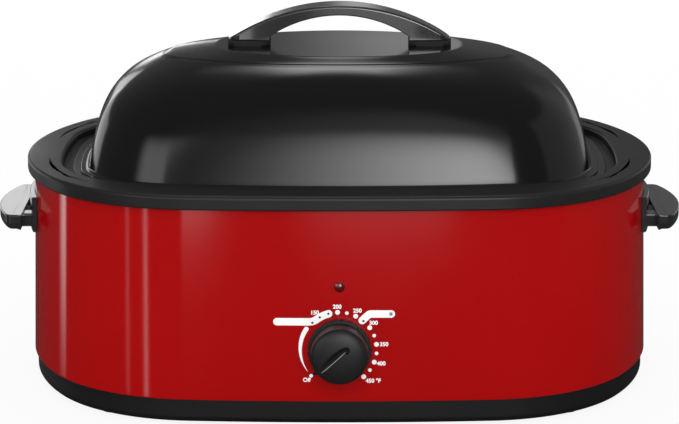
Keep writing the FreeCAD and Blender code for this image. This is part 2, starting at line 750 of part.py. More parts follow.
def tube_solid(points, bend, radius):
    """A round tube along straight runs joined by tangent arcs."""
    edges = []
    start = points[0]
    for before, corner, after in zip(points, points[1:], points[2:]):
        into = (corner - before).normalize()
        out = (after - corner).normalize()
        angle = into.getAngle(out)
        setback = bend * math.tan(angle / 2)
        first = corner - into * setback
        last = corner + out * setback
        middle = corner + (out - into).normalize() * (bend / math.cos(angle / 2) - bend)
        edges.append(Part.LineSegment(start, first).toShape())
        edges.append(Part.Arc(first, middle, last).toShape())
        start = last
    edges.append(Part.LineSegment(start, points[-1]).toShape())
    path = Part.Wire(edges)
    ring = Part.Wire([Part.makeCircle(radius, points[0], points[1] - points[0])])
    return path.makePipeShell([ring], True, True)


def corners_of(x, y):
    """The same place in all four quarters."""
    return [(x, y), (-x, y), (-x, -y), (x, -y)]


# ---------------------------------------------------------------- base and feet

tie_bolt_x = (dim.collar_length + opening_length) / 4 - dim.tie_bolt_end
tie_bolt_y = (dim.collar_depth + opening_depth) / 4 - dim.tie_bolt_side
tie_spots = corners_of(tie_bolt_x, tie_bolt_y)
foot_x = base_plan.half_length - dim.foot_inset_x
foot_y = base_plan.half_depth - dim.foot_inset_y
post_x = shield_plan.half_length - dim.shield_post_inset_x
post_y = shield_plan.half_depth - dim.shield_post_inset_y


def base_tray():
    """Black moulded tray: rounded foot, floor with vents, wall that goes up inside the casing."""
    body = new_body("base_tray")
    outside = plan_sketch(body, "tray_outline", base_plan)
    shell = pad(body, "tray_block", outside, dim.base_height + dim.base_lip)
    rounded = fillet(body, "tray_foot_round", shell, dim.base_round, flat_at(0))
    inside = plan_sketch(body, "tray_inside", base_plan.grown(-dim.base_wall), dim.base_wall)
    pocket(body, "tray_hollow", inside)
    lip_plan = casing_foot_plan.grown(-(dim.casing_wall + dim.fit_gap * 2))
    rib_foot = dim.base_height + 1.5
    rib = ring_sketch(body, "rib_outline", lip_plan, base_plan.grown(-dim.base_wall / 2), rib_foot)
    pad(body, "casing_rib", rib, dim.base_lip - 3.5)
    vents = new_sketch(body, "vent_slots")
    for row in (-1, 1):
        for column in range(-3, 4):
            centre = (column * dim.vent_width * 3, row * dim.vent_length)
            add_polygon(vents, box_points(*centre, dim.vent_width, dim.vent_length))
    pocket(body, "vents", vents)
    feet = circles_sketch(body, "foot_holes", corners_of(foot_x, foot_y), dim.foot_stem_radius + dim.fit_gap)
    pocket(body, "foot_stems", feet)
    bolts = circles_sketch(body, "bolt_holes", tie_spots, dim.tie_bolt_radius + dim.screw_clearance)
    pocket(body, "bolt_way", bolts)
    return node("base_tray", body, z=base_foot)


def rubber_foot(label, x, y):
    """Round pad with a stem through the base's floor and a bulb that holds it there."""
    body = new_body(label)
    bulb_foot = dim.foot_height + dim.base_wall + dim.fit_gap
    profile = [
        (ZERO, ZERO),
        (dim.foot_radius - dim.foot_edge, ZERO),
        (dim.foot_radius, dim.foot_edge),
        (dim.foot_radius, dim.foot_height),
        (dim.foot_stem_radius, dim.foot_height),
        (dim.foot_stem_radius, bulb_foot),
        (dim.foot_stem_radius + dim.foot_bulb, bulb_foot + dim.foot_bulb / 2),
        (dim.foot_stem_radius - dim.foot_edge, bulb_foot + dim.foot_bulb_height),
        (ZERO, bulb_foot + dim.foot_bulb_height),
    ]
    revolve(body, "turned_foot", polygon_sketch(body, "foot_section", profile, "XZ_Plane"))
    return node(label, body, x, y)


# ---------------------------------------------------------------- casing and collar

grip_screw_z = grip_top - dim.grip_thickness / 2


def casing_half(label, side):
    """Half of the flared sheet-steel wall, with its holes; the two halves meet in a seam at each end."""
    body = new_body(label)
    top = plate_under - casing_foot
    head = casing_plan_at(plate_under)
    outside = [
        plan_sketch(body, "casing_foot_outline", casing_foot_plan),
        plan_sketch(body, "casing_head_outline", head, top),
    ]
    loft(body, "casing_block", outside)
    inside = [
        plan_sketch(body, "hollow_foot_outline", casing_foot_plan.grown(-dim.casing_wall)),
        plan_sketch(body, "hollow_head_outline", head.grown(-dim.casing_wall), top),
    ]
    loft_cut(body, "casing_hollow", inside)
    length = casing_foot_plan.half_length * 2 + 10
    depth = casing_foot_plan.half_depth + 10
    other = (depth - dim.seam_gap) / -2 * side
    outline = polygon_sketch(body, "other_half_outline", box_points(ZERO, other, length, depth))
    pocket(body, "other_half", outline)
    face = new_sketch(body, "face_holes", "XZ_Plane")
    if side < 0:
        add_circle(face, 0, dial_height - casing_foot, dim.shaft_hole_radius)
        add_circle(face, 0, lamp_height - casing_foot, dim.lamp_radius + dim.fit_gap)
        for end in (-1, 1):
            centre = end * thermostat_screw_x
            add_circle(face, centre, dial_height - casing_foot, dim.screw_radius + dim.screw_clearance)
    else:
        add_circle(face, 0, gland_height - casing_foot, dim.gland_radius - dim.gland_seat)
    pocket(body, "face_ways", face, upward=side < 0)
    spots = [(side * dim.grip_arm_y, grip_screw_z - casing_foot)]
    for name, upward in (("right", True), ("left", False)):
        hole = circles_sketch(
            body, f"{name}_grip_hole", spots, dim.screw_radius + dim.screw_clearance, "YZ_Plane"
        )
        pocket(body, f"{name}_grip_way", hole, upward=upward)
    return node(label, body, z=casing_foot)


liner_screw_x = opening_length / 2 - dim.liner_screw_inset
liner_screw_y = opening_depth / 2 - dim.liner_screw_inset
liner_screw_spots = [
    (liner_screw_x, ZERO),
    (-liner_screw_x, ZERO),
    (ZERO, liner_screw_y),
    (ZERO, -liner_screw_y),
]


def rim_collar():
    """Black moulded ring: skirt over the casing, flat top, step down to the ledge that carries the pan."""
    body = new_body("rim_collar")
    outline = plan_sketch(body, "collar_outline", collar_plan)
    block_feature = pad(body, "ring_block", outline, dim.collar_height)
    step_level = dim.collar_height - dim.opening_step
    opening = plan_sketch(body, "opening_outline", opening_plan, step_level)
    opened = pocket(body, "opening", opening)
    top_edges = fillet(body, "top_rounds", opened, dim.collar_round, flat_at(dim.collar_height))
    fillet(body, "skirt_round", top_edges, dim.collar_foot_round, flat_at(0))
    pocket(body, "well_way", plan_sketch(body, "ledge_outline", ledge_plan))
    under_ledge = step_level - dim.ledge_thickness
    skirt_inside = collar_plan.grown(-dim.collar_wall)
    pocket(body, "ledge_relief", plan_sketch(body, "relief_outline", skirt_inside), under_ledge)
    channel = ring_sketch(
        body, "channel_outline", skirt_inside, opening_plan.grown(dim.collar_wall), under_ledge
    )
    pocket(body, "channel", channel, dim.collar_height - dim.collar_plate - under_ledge)
    boss_foot = dim.collar_height - dim.collar_plate - dim.tie_boss_drop
    bosses = circles_sketch(body, "boss_outlines", tie_spots, dim.tie_boss_radius, offset=boss_foot)
    pad(body, "tie_bosses", bosses, dim.tie_boss_drop)
    threads = circles_sketch(
        body, "boss_bores", tie_spots, dim.tie_bolt_radius + dim.screw_clearance, offset=boss_foot
    )
    pocket(body, "boss_threads", threads, dim.tie_boss_drop - 2)
    way = dim.liner_screw_radius + dim.screw_clearance
    liner_holes = circles_sketch(
        body, "liner_screw_bores", liner_screw_spots, way, offset=under_ledge
    )
    pocket(body, "liner_screw_ways", liner_holes, dim.ledge_thickness - 1)
    return node("rim_collar", body, z=collar_foot)


# ---------------------------------------------------------------- heating well

def inner_liner():
    """Steel well that hangs under the collar's ledge and holds the pan."""
    body = new_body("inner_liner")
    deep = ledge_under - liner_floor_under
    pad(body, "well_block", plan_sketch(body, "well_outline", liner_outer_plan), deep)
    hollow = plan_sketch(body, "well_inside", liner_plan, dim.liner_wall)
    tub = pocket(body, "well_hollow", hollow)
    round_tub(body, "well", tub, dim.liner_round, dim.liner_wall)
    flange_level = deep - dim.liner_wall
    flange = ring_sketch(body, "flange_outline", liner_plan.grown(dim.liner_flange), liner_plan, flange_level)
    pad(body, "flange", flange, dim.liner_wall)
    ways = circles_sketch(
        body,
        "liner_screw_holes",
        liner_screw_spots,
        dim.liner_screw_radius + dim.screw_clearance,
        offset=deep - dim.liner_wall,
    )
    pocket(body, "liner_screw_holes_cut", ways)
    return node("inner_liner", body, z=liner_floor_under)


def liner_screws():
    """Short screws up through the well's flange into the ledge."""
    screws = []
    head_top = ledge_under - dim.liner_wall
    head_foot = head_top - dim.liner_screw_head
    length = dim.liner_wall + dim.ledge_thickness - dim.liner_screw_cover
    for i, (x, y) in enumerate(liner_screw_spots):
        shank = cylinder(f"liner_screw_shank_{i}", dim.liner_screw_radius, length, x, y, head_top)
        head = cylinder(
            f"liner_screw_head_{i}", dim.liner_screw_head_radius, dim.liner_screw_head, x, y, head_foot
        )
        screws.append(fuse(f"liner_screw_{i}", [shank, head]))
    return node("liner_screws", group("liner_screw_group", screws))


def heating_band():
    """Flat resistance band strapped round the well."""
    body = new_body("heating_band")
    inner = liner_outer_plan.grown(dim.fit_gap)
    outer = inner.grown(dim.band_thickness)
    pad(body, "band", ring_sketch(body, "band_outline", outer, inner), dim.band_height)
    return node("heating_band", body, z=band_foot)


def insulation_blanket():
    """Glass-fibre blanket round the well, cut away from its foot up behind the dial."""
    body = new_body("insulation_blanket")
    ring = ring_sketch(body, "blanket_outline", blanket_outer_plan, blanket_inner_plan)
    pad(body, "blanket", ring, blanket_head - blanket_foot)
    foot = dim.seat_gap * -1
    head = bulb_foot + dim.bulb_length + dim.window_margin - blanket_foot
    half = dim.window_width / 2
    window = polygon_sketch(
        body, "window_outline", [(-half, foot), (half, foot), (half, head), (-half, head)], "XZ_Plane"
    )
    pocket(body, "window", window)
    return node("insulation_blanket", body, z=blanket_foot)


def floor_insulation():
    """Pad of the same blanket between the well's floor and the heat shield."""
    body = new_body("floor_insulation")
    pad(body, "pad", plan_sketch(body, "pad_outline", shield_plan), dim.floor_blanket)
    return node("floor_insulation", body, z=shield_top)


def heat_shield():
    """Bright plate that keeps the heat off the base, with a drip edge turned down round it."""
    body = new_body("heat_shield")
    outside = plan_sketch(body, "shield_outline", shield_plan)
    pad(body, "shield_block", outside, dim.shield_edge + dim.shield_thickness)
    inside = plan_sketch(body, "shield_inside", shield_plan.grown(-dim.shield_thickness))
    pocket(body, "shield_hollow", inside, dim.shield_edge)
    return node("heat_shield", body, z=shield_under - dim.shield_edge)


def shield_posts():
    """Four spacers that carry the shield on the base's floor."""
    tall = shield_under - base_floor_top
    posts = []
    for i, (x, y) in enumerate(corners_of(post_x, post_y)):
        posts.append(cylinder(f"shield_post_{i}", dim.shield_post_radius, tall, x, y, base_floor_top))
    return node("shield_posts", group("shield_post_group", posts))


# ---------------------------------------------------------------- control

thermostat_screw_x = dim.bracket_width / 2 - dim.bracket_screw_inset
thermostat_width = thermostat_screw_x * 2 - dim.screw_head_radius * 2 - 2
dial_front = casing_front_at(dial_height)
bulb_offset = dim.fit_gap + dim.band_thickness + dim.seat_gap + dim.capillary_radius
bulb_y = -(liner_outer_plan.half_depth + bulb_offset)
strap_outer = dim.bulb_radius + dim.fit_gap + dim.strap_wall
bracket_front = casing_front_at(dial_height + dim.thermostat_height / 2) - dim.casing_wall - dim.bracket_gap
thermostat_front = bracket_front - dim.bracket_thickness
thermostat_back = liner_outer_plan.half_depth + dim.fit_gap + dim.band_thickness + dim.thermostat_gap
thermostat_depth = thermostat_front - thermostat_back
tab_x = thermostat_width / 4


def thermostat_bracket():
    """Steel plate behind the dial that carries the thermostat."""
    body = new_body("thermostat_bracket")
    plate = polygon_sketch(body, "plate_outline", box_points(0, 0, dim.bracket_width, dim.thermostat_height))
    pad(body, "plate", plate, dim.bracket_thickness)
    pocket(body, "shaft_way", circles_sketch(body, "shaft_outline", [(ZERO, ZERO)], dim.shaft_hole_radius))
    screws = [(thermostat_screw_x, ZERO), (-thermostat_screw_x, ZERO)]
    holes = circles_sketch(body, "screw_outlines", screws, dim.screw_radius + dim.screw_clearance)
    pocket(body, "screw_ways", holes)
    return node("thermostat_bracket", body, y=-thermostat_front, z=dial_height, rotation=FACING_FRONT)


def thermostat_body():
    """Moulded switch body with a bore for its shaft and two terminals at the back."""
    body = new_body("thermostat_body")
    case = polygon_sketch(body, "case_outline", box_points(0, 0, thermostat_width, dim.thermostat_height))
    pad(body, "case", case, thermostat_depth)
    bore = circles_sketch(
        body, "bore_outline", [(ZERO, ZERO)], dim.shaft_radius + dim.shaft_clearance, offset=thermostat_depth
    )
    pocket(body, "bore", bore, thermostat_depth / 2 + 1, upward=False)
    for i, side in enumerate((-1, 1)):
        spot = box_points(side * tab_x, -dim.thermostat_height / 4, dim.tab_width, dim.tab_thickness)
        tab = polygon_sketch(body, f"tab_outline_{i}", spot)
        pad(body, f"tab_{i}", tab, dim.tab_length, reverse=True)
    return node("thermostat_body", body, y=-thermostat_back, z=dial_height, rotation=FACING_FRONT)


def thermostat_screws():
    """Two screws from the front, hidden under the knob."""
    bearing = -(dial_front + dim.head_gap)
    length = dial_front - thermostat_front + dim.nut_height + 2
    screws = [
        screw(f"dial_screw_{i}", side * thermostat_screw_x, bearing, dial_height, FACING_BACK, length)
        for i, side in enumerate((-1, 1))
    ]
    return node("thermostat_screws", group("thermostat_screw_group", screws))


def thermostat_nuts():
    """The nuts of those screws, behind the bracket."""
    nuts = []
    bore_radius = dim.screw_radius + dim.screw_clearance
    for i, side in enumerate((-1, 1)):
        spot = (side * thermostat_screw_x, -thermostat_front, dial_height)
        blank = doc.addObject("Part::Prism", f"nut_blank_{i}")
        bind(blank, "Circumradius", dim.screw_head_radius)
        bind(blank, "Height", dim.nut_height)
        place(blank, *spot, FACING_BACK, shifted=False)
        bore = cylinder(f"nut_bore_{i}", bore_radius, dim.nut_height, *spot, FACING_BACK)
        nuts.append(cut(f"nut_{i}", blank, bore))
    return node("thermostat_nuts", group("thermostat_nut_group", nuts))


def capillary_sensor():
    """Sensing bulb upright against the well, with its capillary from the thermostat's back."""
    shape_level = dial_height + dim.thermostat_height / 4
    start = FreeCAD.Vector(0, -thermostat_back.value, shape_level.value)
    corner = FreeCAD.Vector(0, bulb_y.value, shape_level.value)
    end = FreeCAD.Vector(0, bulb_y.value, bulb_foot.value + dim.capillary_entry.value)
    bend = 0.45 * min((corner - start).Length, (end - corner).Length)
    tube = tube_solid([start, corner, end], bend, dim.capillary_radius.value)
    foot = FreeCAD.Vector(0, bulb_y.value, bulb_foot.value)
    bulb = Part.makeCylinder(dim.bulb_radius.value, dim.bulb_length.value, foot)
    thing = doc.addObject("Part::Feature", "capillary_sensor_solid")
    thing.Shape = tube.fuse(bulb).removeSplitter()
    return node("capillary_sensor", thing)


def sensor_clip():
    """Strap spot-welded to the well that holds the bulb."""
    body = new_body("sensor_clip")
    outer = strap_outer
    back = bulb_offset - dim.fit_gap / 2
    front = back - dim.strap_wall
    wings = polygon_sketch(
        body,
        "strap_outline",
        [
            (-outer * 3, front),
            (-outer, front),
            (-outer, -outer),
            (outer, -outer),
            (outer, front),
            (outer * 3, front),
            (outer * 3, back),
            (-outer * 3, back),
        ],
    )
    pad(body, "strap", wings, dim.strap_height)
    hole = circles_sketch(body, "bulb_hole", [(ZERO, ZERO)], dim.bulb_radius + dim.fit_gap)
    pocket(body, "bulb_way", hole)
    return node("sensor_clip", body, y=bulb_y, z=bulb_foot + dim.bulb_length / 2)


knob_back = dial_front + dim.knob_gap
knob_face_under = dim.knob_height - dim.knob_wall - dim.knob_scoop_depth
shaft_into_knob = knob_face_under - dim.knob_hub_start
KNOB_ANGLE = 43  # degrees by which the pointer ridge is turned from level


def control_knob():
    """Hollow moulded knob: skirt, drum, hub on the shaft, pointer ridge with a scoop beside it."""
    body = new_body("control_knob")
    shoulder_radius = dim.knob_radius - dim.knob_taper
    section = [
        (dim.knob_skirt_radius - dim.knob_wall, ZERO),
        (dim.knob_skirt_radius, ZERO),
        (dim.knob_skirt_radius, dim.knob_skirt_height - dim.knob_skirt_edge),
        (dim.knob_skirt_radius - dim.knob_skirt_edge, dim.knob_skirt_height),
        (dim.knob_radius, dim.knob_skirt_height),
        (shoulder_radius, dim.knob_height - dim.knob_shoulder),
        (shoulder_radius - dim.knob_shoulder * 0.3, dim.knob_height - dim.knob_shoulder * 0.45),
        (shoulder_radius - dim.knob_shoulder, dim.knob_height - dim.knob_crown),
        (dim.knob_radius / 2, dim.knob_height - dim.knob_crown * 0.3),
        (ZERO, dim.knob_height),
        (ZERO, knob_face_under),
        (dim.knob_radius - dim.knob_wall - dim.knob_shoulder, knob_face_under),
        (dim.knob_radius - dim.knob_wall - dim.knob_taper, dim.knob_height - dim.knob_shoulder),
        (dim.knob_radius - dim.knob_wall, dim.knob_skirt_height - dim.knob_wall),
        (dim.knob_skirt_radius - dim.knob_wall, dim.knob_skirt_height - dim.knob_wall),
    ]
    revolve(body, "turned_knob", polygon_sketch(body, "knob_section", section, "XZ_Plane"))
    hub = circles_sketch(body, "hub_outline", [(ZERO, ZERO)], dim.knob_hub_radius, offset=dim.knob_hub_start)
    pad(body, "hub", hub, knob_face_under)
    way = dim.shaft_radius + dim.shaft_clearance / 2
    bore = circles_sketch(body, "hub_bore", [(ZERO, ZERO)], way, offset=dim.knob_bore_gap)
    pocket(body, "hub_way", bore, shaft_into_knob)
    reach = dim.knob_radius * 0.72
    half = dim.knob_ridge_width / 2
    scoop = polygon_sketch(
        body,
        "scoop_outline",
        [
            (-reach * 0.9, half),
            (reach * 0.25, half),
            (reach * 0.62, half + dim.knob_scoop_hook),
            (reach * 0.5, reach * 0.62),
            (ZERO, reach * 0.9),
            (-reach * 0.6, reach * 0.68),
        ],
        offset=dim.knob_height,
    )
    pocket(body, "scoop", scoop, dim.knob_scoop_depth, upward=False)
    return node(
        "control_knob",
        body,
        y=-knob_back,
        z=dial_height,
        rotation=FACING_FRONT.multiply(FreeCAD.Rotation(FreeCAD.Vector(0, 0, 1), KNOB_ANGLE)),
    )


def thermostat_shaft():
    """Steel shaft from inside the thermostat through the casing into the knob's hub."""
    inside = thermostat_depth / 2
    start = thermostat_front - inside
    length = knob_back - start + shaft_into_knob
    shaft = cylinder("shaft_bar", dim.shaft_radius, length, 0, -start, dial_height, FACING_FRONT)
    return node("thermostat_shaft", fuse_one("shaft_solid", shaft))


def fuse_one(name, thing):
    """A compound of one, so that the piece takes the common shift like the others."""
    return group(name, [thing])


def knob_clip():
    """Spring clip round the knob's hub."""
    body = new_body("knob_clip")
    inner = dim.knob_hub_radius + dim.clip_play
    circle = circles_sketch(body, "clip_outline", [(ZERO, ZERO)], inner + dim.clip_wall)
    pad(body, "clip", circle, dim.clip_width)
    hole = circles_sketch(body, "clip_hole", [(ZERO, ZERO)], inner)
    pocket(body, "clip_way", hole)
    slot = polygon_sketch(body, "clip_gap", box_points(inner, 0, inner, dim.clip_wall * 2))
    pocket(body, "clip_open", slot)
    return node("knob_clip", body, y=-(knob_back + dim.clip_width), z=dial_height, rotation=FACING_FRONT)


def indicator_lens():
    """Dark red pilot lens, domed, with a stem into its holder."""
    body = new_body("indicator_lens")
    section = [
        (ZERO, -dim.lamp_stem),
        (dim.lamp_radius - dim.lamp_lip, -dim.lamp_stem),
        (dim.lamp_radius - dim.lamp_lip, dim.lamp_lip),
        (dim.lamp_radius, dim.lamp_lip),
        (dim.lamp_radius, dim.lamp_edge),
        (dim.lamp_radius * 0.72, dim.lamp_dome * 0.75),
        (dim.lamp_radius * 0.35, dim.lamp_dome * 0.96),
        (ZERO, dim.lamp_dome),
    ]
    revolve(body, "turned_lens", polygon_sketch(body, "lens_section", section, "XZ_Plane"))
    front = casing_front_at(lamp_height)
    return node("indicator_lens", body, y=-front, z=lamp_height, rotation=FACING_FRONT)


def indicator_lamp():
    """Holder with the neon lamp, behind the lens."""
    front = casing_front_at(lamp_height) - dim.lamp_stem - dim.fit_gap / 2
    length = front + bulb_y - strap_outer - dim.lamp_gap
    body = new_body("indicator_lamp")
    neck = dim.lamp_radius - dim.lamp_lip * 2
    section = [
        (ZERO, ZERO),
        (neck, ZERO),
        (neck, length * 0.15),
        (dim.lamp_radius + dim.lamp_holder_wall, length * 0.3),
        (dim.lamp_radius + dim.lamp_holder_wall, length),
        (ZERO, length),
    ]
    revolve(body, "turned_holder", polygon_sketch(body, "holder_section", section, "XZ_Plane"))
    return node("indicator_lamp", body, y=-(front - length), z=lamp_height, rotation=FACING_FRONT)


# ---------------------------------------------------------------- supply

rear_inside = casing_front_at(gland_height) - dim.casing_wall
block_y = rear_inside - dim.block_gap - dim.block_width / 2
block_x = -dim.block_length / 4


def cord_gland():
    """Bush in the rear wall through which a supply cord would come out."""
    body = new_body("cord_gland")
    back = dim.gland_reach
    neck = dim.gland_radius - dim.gland_seat - dim.fit_gap
    edge = dim.gland_radius + dim.gland_flange
    flange_back = dim.gland_stand + dim.gland_flange_thickness
    section = [
        (dim.gland_bore, -dim.gland_inside),
        (dim.gland_radius, -dim.gland_inside),
        (dim.gland_radius, -dim.gland_barb),
        (neck, -dim.gland_barb),
        (neck, dim.gland_stand),
        (edge, dim.gland_stand),
        (edge, flange_back),
        (dim.gland_radius, flange_back + dim.gland_flange / 3),
        (dim.gland_bore + dim.gland_tip_wall, back),
        (dim.gland_bore, back),
    ]
    revolve(body, "turned_gland", polygon_sketch(body, "gland_section", section, "XZ_Plane"))
    rear = casing_front_at(gland_height)
    return node("cord_gland", body, y=rear, z=gland_height, rotation=FACING_BACK)


def terminal_block():
    """Porcelain block on the base's floor, with two wire ways."""
    body = new_body("terminal_block")
    base = polygon_sketch(body, "block_outline", box_points(0, 0, dim.block_length, dim.block_width))
    pad(body, "block", base, dim.block_height)
    rows = [(side * dim.block_length / 4, dim.block_height / 2) for side in (-1, 1)]
    for i, upward in enumerate((True, False)):
        holes = circles_sketch(body, f"wire_ways_{i}", rows, dim.lead_radius + dim.lead_clearance, "XZ_Plane")
        pocket(body, f"wires_{i}", holes, upward=upward)
    return node("terminal_block", body, x=block_x, y=block_y, z=base_floor_top)


def thermal_fuse():
    """Thermal fuse in its sleeve on the base's floor."""
    across = FreeCAD.Rotation(FreeCAD.Vector(0, 1, 0), 90)
    x = block_x - dim.fuse_offset
    y = block_y - dim.fuse_offset
    level = base_floor_top + dim.fuse_radius
    thing = cylinder("fuse_barrel", dim.fuse_radius, dim.fuse_length, x, y, level, across)
    return node("thermal_fuse", fuse_one("fuse_solid", thing))


def internal_leads():
    """Two insulated leads along the base's floor, from the terminal block up to the thermostat."""
    tab_z = (dial_height - dim.thermostat_height / 4).value
    tab_y = -(thermostat_back - dim.tab_length - dim.seat_gap).value
    low = base_floor_top.value + dim.block_height.value / 2
    block_front = (block_y - dim.block_width / 2).value
    run = dim.lead_run.value
    bend = dim.lead_bend.value
    solids = []
    for side in (-1, 1):
        block_hole = (block_x + side * dim.block_length / 4).value
        tab = side * tab_x.value
        points = [
            FreeCAD.Vector(block_hole, block_front + 2, low),
            FreeCAD.Vector(block_hole, block_front - run, low),
            FreeCAD.Vector(tab, tab_y + run, low),
            FreeCAD.Vector(tab, tab_y + bend * 2, low),
            FreeCAD.Vector(tab, tab_y + bend / 2, tab_z - bend * 2.5),
            FreeCAD.Vector(tab, tab_y + bend / 2, tab_z),
        ]
        solids.append(tube_solid(points, bend, dim.lead_radius.value))
    thing = doc.addObject("Part::Feature", "internal_leads_solid")
    thing.Shape = Part.makeCompound(solids)
    return node("internal_leads", thing)


# ---------------------------------------------------------------- side handles


def add_bowed_outline(sketch, side, inner, reach, half, radius):
    """D outline at one end of the oven: straight inner edge, bowed outer edge, square ends."""
    swing = math.asin(half.value / radius.value)
    centre = side * (reach - radius)
    middle = 0 if side > 0 else math.pi
    sketch.addGeometry(arc_about(centre.value, 0, radius.value, middle - swing, middle + swing), False)
    edge = side * (reach.value - radius.value + radius.value * math.cos(swing))
    inside = side * inner
    top = half * side
    corners = [(edge, top.value), (inside.value, top.value)]
    corners += [(inside.value, -top.value), (edge, -top.value)]
    for (x1, y1), (x2, y2) in zip(corners, corners[1:]):
        line = Part.LineSegment(FreeCAD.Vector(x1, y1, 0), FreeCAD.Vector(x2, y2, 0))
        sketch.addGeometry(line, False)
    joins = [Sketcher.Constraint("Coincident", i, 2, (i + 1) % 4, 1) for i in range(4)]
    level = [Sketcher.Constraint("Horizontal", 1), Sketcher.Constraint("Horizontal", 3)]
    sketch.addConstraint(joins + level + [Sketcher.Constraint("PointOnObject", 0, 3, -1)])
    constrain(sketch, "DistanceX", (-1, 1, 0, 3), centre)
    constrain(sketch, "Radius", (0,), radius)
    constrain(sketch, "DistanceX", (-1, 1, 2, 1), inside)
    constrain(sketch, "DistanceY", (-1, 1, 2, 1), top)
    constrain(sketch, "DistanceX", (-1, 1, 2, 2), inside)
    constrain(sketch, "DistanceY", (-1, 1, 2, 2), -top)
    return sketch


def side_handle(label, side):
    """Moulded grip with two arms and the plate that is screwed to the casing's end."""
    body = new_body(label)
    plate_foot = -dim.grip_plate_drop
    outer = bow_radius(dim.grip_half_length, dim.grip_crown)
    outline = new_sketch(body, "grip_outline")
    add_bowed_outline(outline, side, grip_inner, grip_reach, dim.grip_half_length, outer)
    grip = pad(body, "grip", outline, dim.grip_thickness)
    soft_ends = fillet(body, "grip_ends", grip, dim.grip_end_round, upright_outer(side))
    fillet(body, "grip_underside", soft_ends, dim.grip_under_round, outer_arc_at(0, side))
    root = casing_head_plan.half_length - dim.grip_plate_thickness * 4
    reach = grip_inner + 4 - root
    for i, end in enumerate((-1, 1)):
        spot = box_points(side * (root + reach / 2), end * dim.grip_arm_y, reach, dim.grip_arm_width)
        pad(body, f"arm_{i}", polygon_sketch(body, f"arm_outline_{i}", spot), dim.grip_thickness - 2)
    face = casing_plan_at(grip_under).grown(dim.grip_plate_thickness)
    plate = new_sketch(body, "plate_outline", "XY_Plane", plate_foot)
    add_bowed_outline(plate, side, root, face.half_length, dim.grip_plate_half, face.end_bow)
    pad(body, "plate", plate, dim.grip_plate_height)
    cut_foot = casing_plan_at(grip_under + plate_foot - 4).grown(dim.fit_gap)
    cut_head = casing_plan_at(collar_foot).grown(dim.fit_gap)
    inside = [
        plan_sketch(body, "casing_at_foot", cut_foot, plate_foot - 4),
        plan_sketch(body, "casing_at_head", cut_head, collar_foot - grip_under),
    ]
    loft_cut(body, "casing_fit", inside)
    spots = [(end * dim.grip_arm_y, dim.grip_thickness / 2) for end in (-1, 1)]
    bore = dim.screw_radius + dim.screw_clearance
    holes = circles_sketch(body, "screw_bores", spots, bore, "YZ_Plane", side * root)
    pocket(body, "screw_ways", holes, grip_inner + 3 - root, upward=side > 0)
    return node(label, body, z=grip_under)


def upright_outer(side):
    """Test for the upright edges where the bowed edge of a grip meets its ends."""
    edge_x = side * (grip_reach - dim.grip_crown).value

    def test(edge):
        box = edge.BoundBox
        upright = box.ZLength > dim.grip_thickness.value * 0.9
        return upright and abs(box.XMin - edge_x) < 0.01 and abs(box.XMax - edge_x) < 0.01

    return test


def outer_arc_at(level, side):
    """Test for the long bowed edge and its rounded ends at one height."""

    def test(edge):
        box = edge.BoundBox
        middle = edge.valueAt((edge.FirstParameter + edge.LastParameter) / 2)
        outward = side * middle.x > grip_inner.value + 3
        return abs(box.ZMin - level) < 1e-3 and box.ZLength < 1e-3 and outward

    return test


def handle_screws():
    """Two screws in each side handle, driven from inside the casing."""
    screws = []
    for i, (side, end) in enumerate(((-1, -1), (-1, 1), (1, -1), (1, 1))):
        plan = casing_plan_at(grip_screw_z).grown(-(dim.casing_wall + dim.head_gap))
        bow = plan.end_bow.value
        sag = bow - math.sqrt(bow**2 - (dim.grip_arm_y.value + dim.screw_head_radius.value) ** 2)
        x = side * (plan.half_length - sag)
        turn = FreeCAD.Rotation(FreeCAD.Vector(0, 1, 0), 90 * side)
        y = end * dim.grip_arm_y
        screws.append(screw(f"grip_screw_{i}", x, y, grip_screw_z, turn, dim.grip_screw_length))
    return node("handle_screws", group("handle_screw_group", screws))


# ---------------------------------------------------------------- tie bolts


def tie_bolts():
    """Long bolts from under the base up into the collar's bosses, clamping the casing between them."""
    length = plate_under - 3 - base_foot
    bolts = []
    for i, (x, y) in enumerate(tie_spots):
        shank = cylinder(f"tie_shank_{i}", dim.tie_bolt_radius, length, x, y, base_foot)
        head = cylinder(f"tie_head_{i}", dim.tie_bolt_radius * 1.8, 2.2, x, y, base_foot - 2.2)
        bolts.append(fuse(f"tie_bolt_{i}", [shank, head]))
    return node("tie_bolts", group("tie_bolt_group", bolts))


# ---------------------------------------------------------------- pan and rack


def cooking_pan():
    """Lift-out pan: tapered wall, rounded foot and a flat rolled rim."""
    body = new_body("cooking_pan")
    deep = dim.pan_depth - dim.pan_rim_thickness
    outside = [
        plan_sketch(body, "pan_foot_outline", pan_foot_plan),
        plan_sketch(body, "pan_head_outline", pan_plan, deep),
    ]
    loft(body, "pan_block", outside)
    inside = [
        plan_sketch(body, "hollow_foot_outline", pan_foot_plan.grown(-dim.pan_wall), dim.pan_wall),
        plan_sketch(body, "hollow_head_outline", pan_plan.grown(-dim.pan_wall), deep),
    ]
    tub = loft_cut(body, "pan_hollow", inside)
    round_tub(body, "pan", tub, dim.pan_round, dim.pan_wall)
    rim_outline = ring_sketch(body, "rim_outline", pan_rim_plan, pan_plan.grown(-dim.pan_wall), deep)
    rim = pad(body, "rim", rim_outline, dim.pan_rim_thickness)
    fillet(body, "rim_round", rim, dim.pan_rim_thickness * 0.45, flat_at(dim.pan_depth))
    return node("cooking_pan", body, z=pan_floor_under)


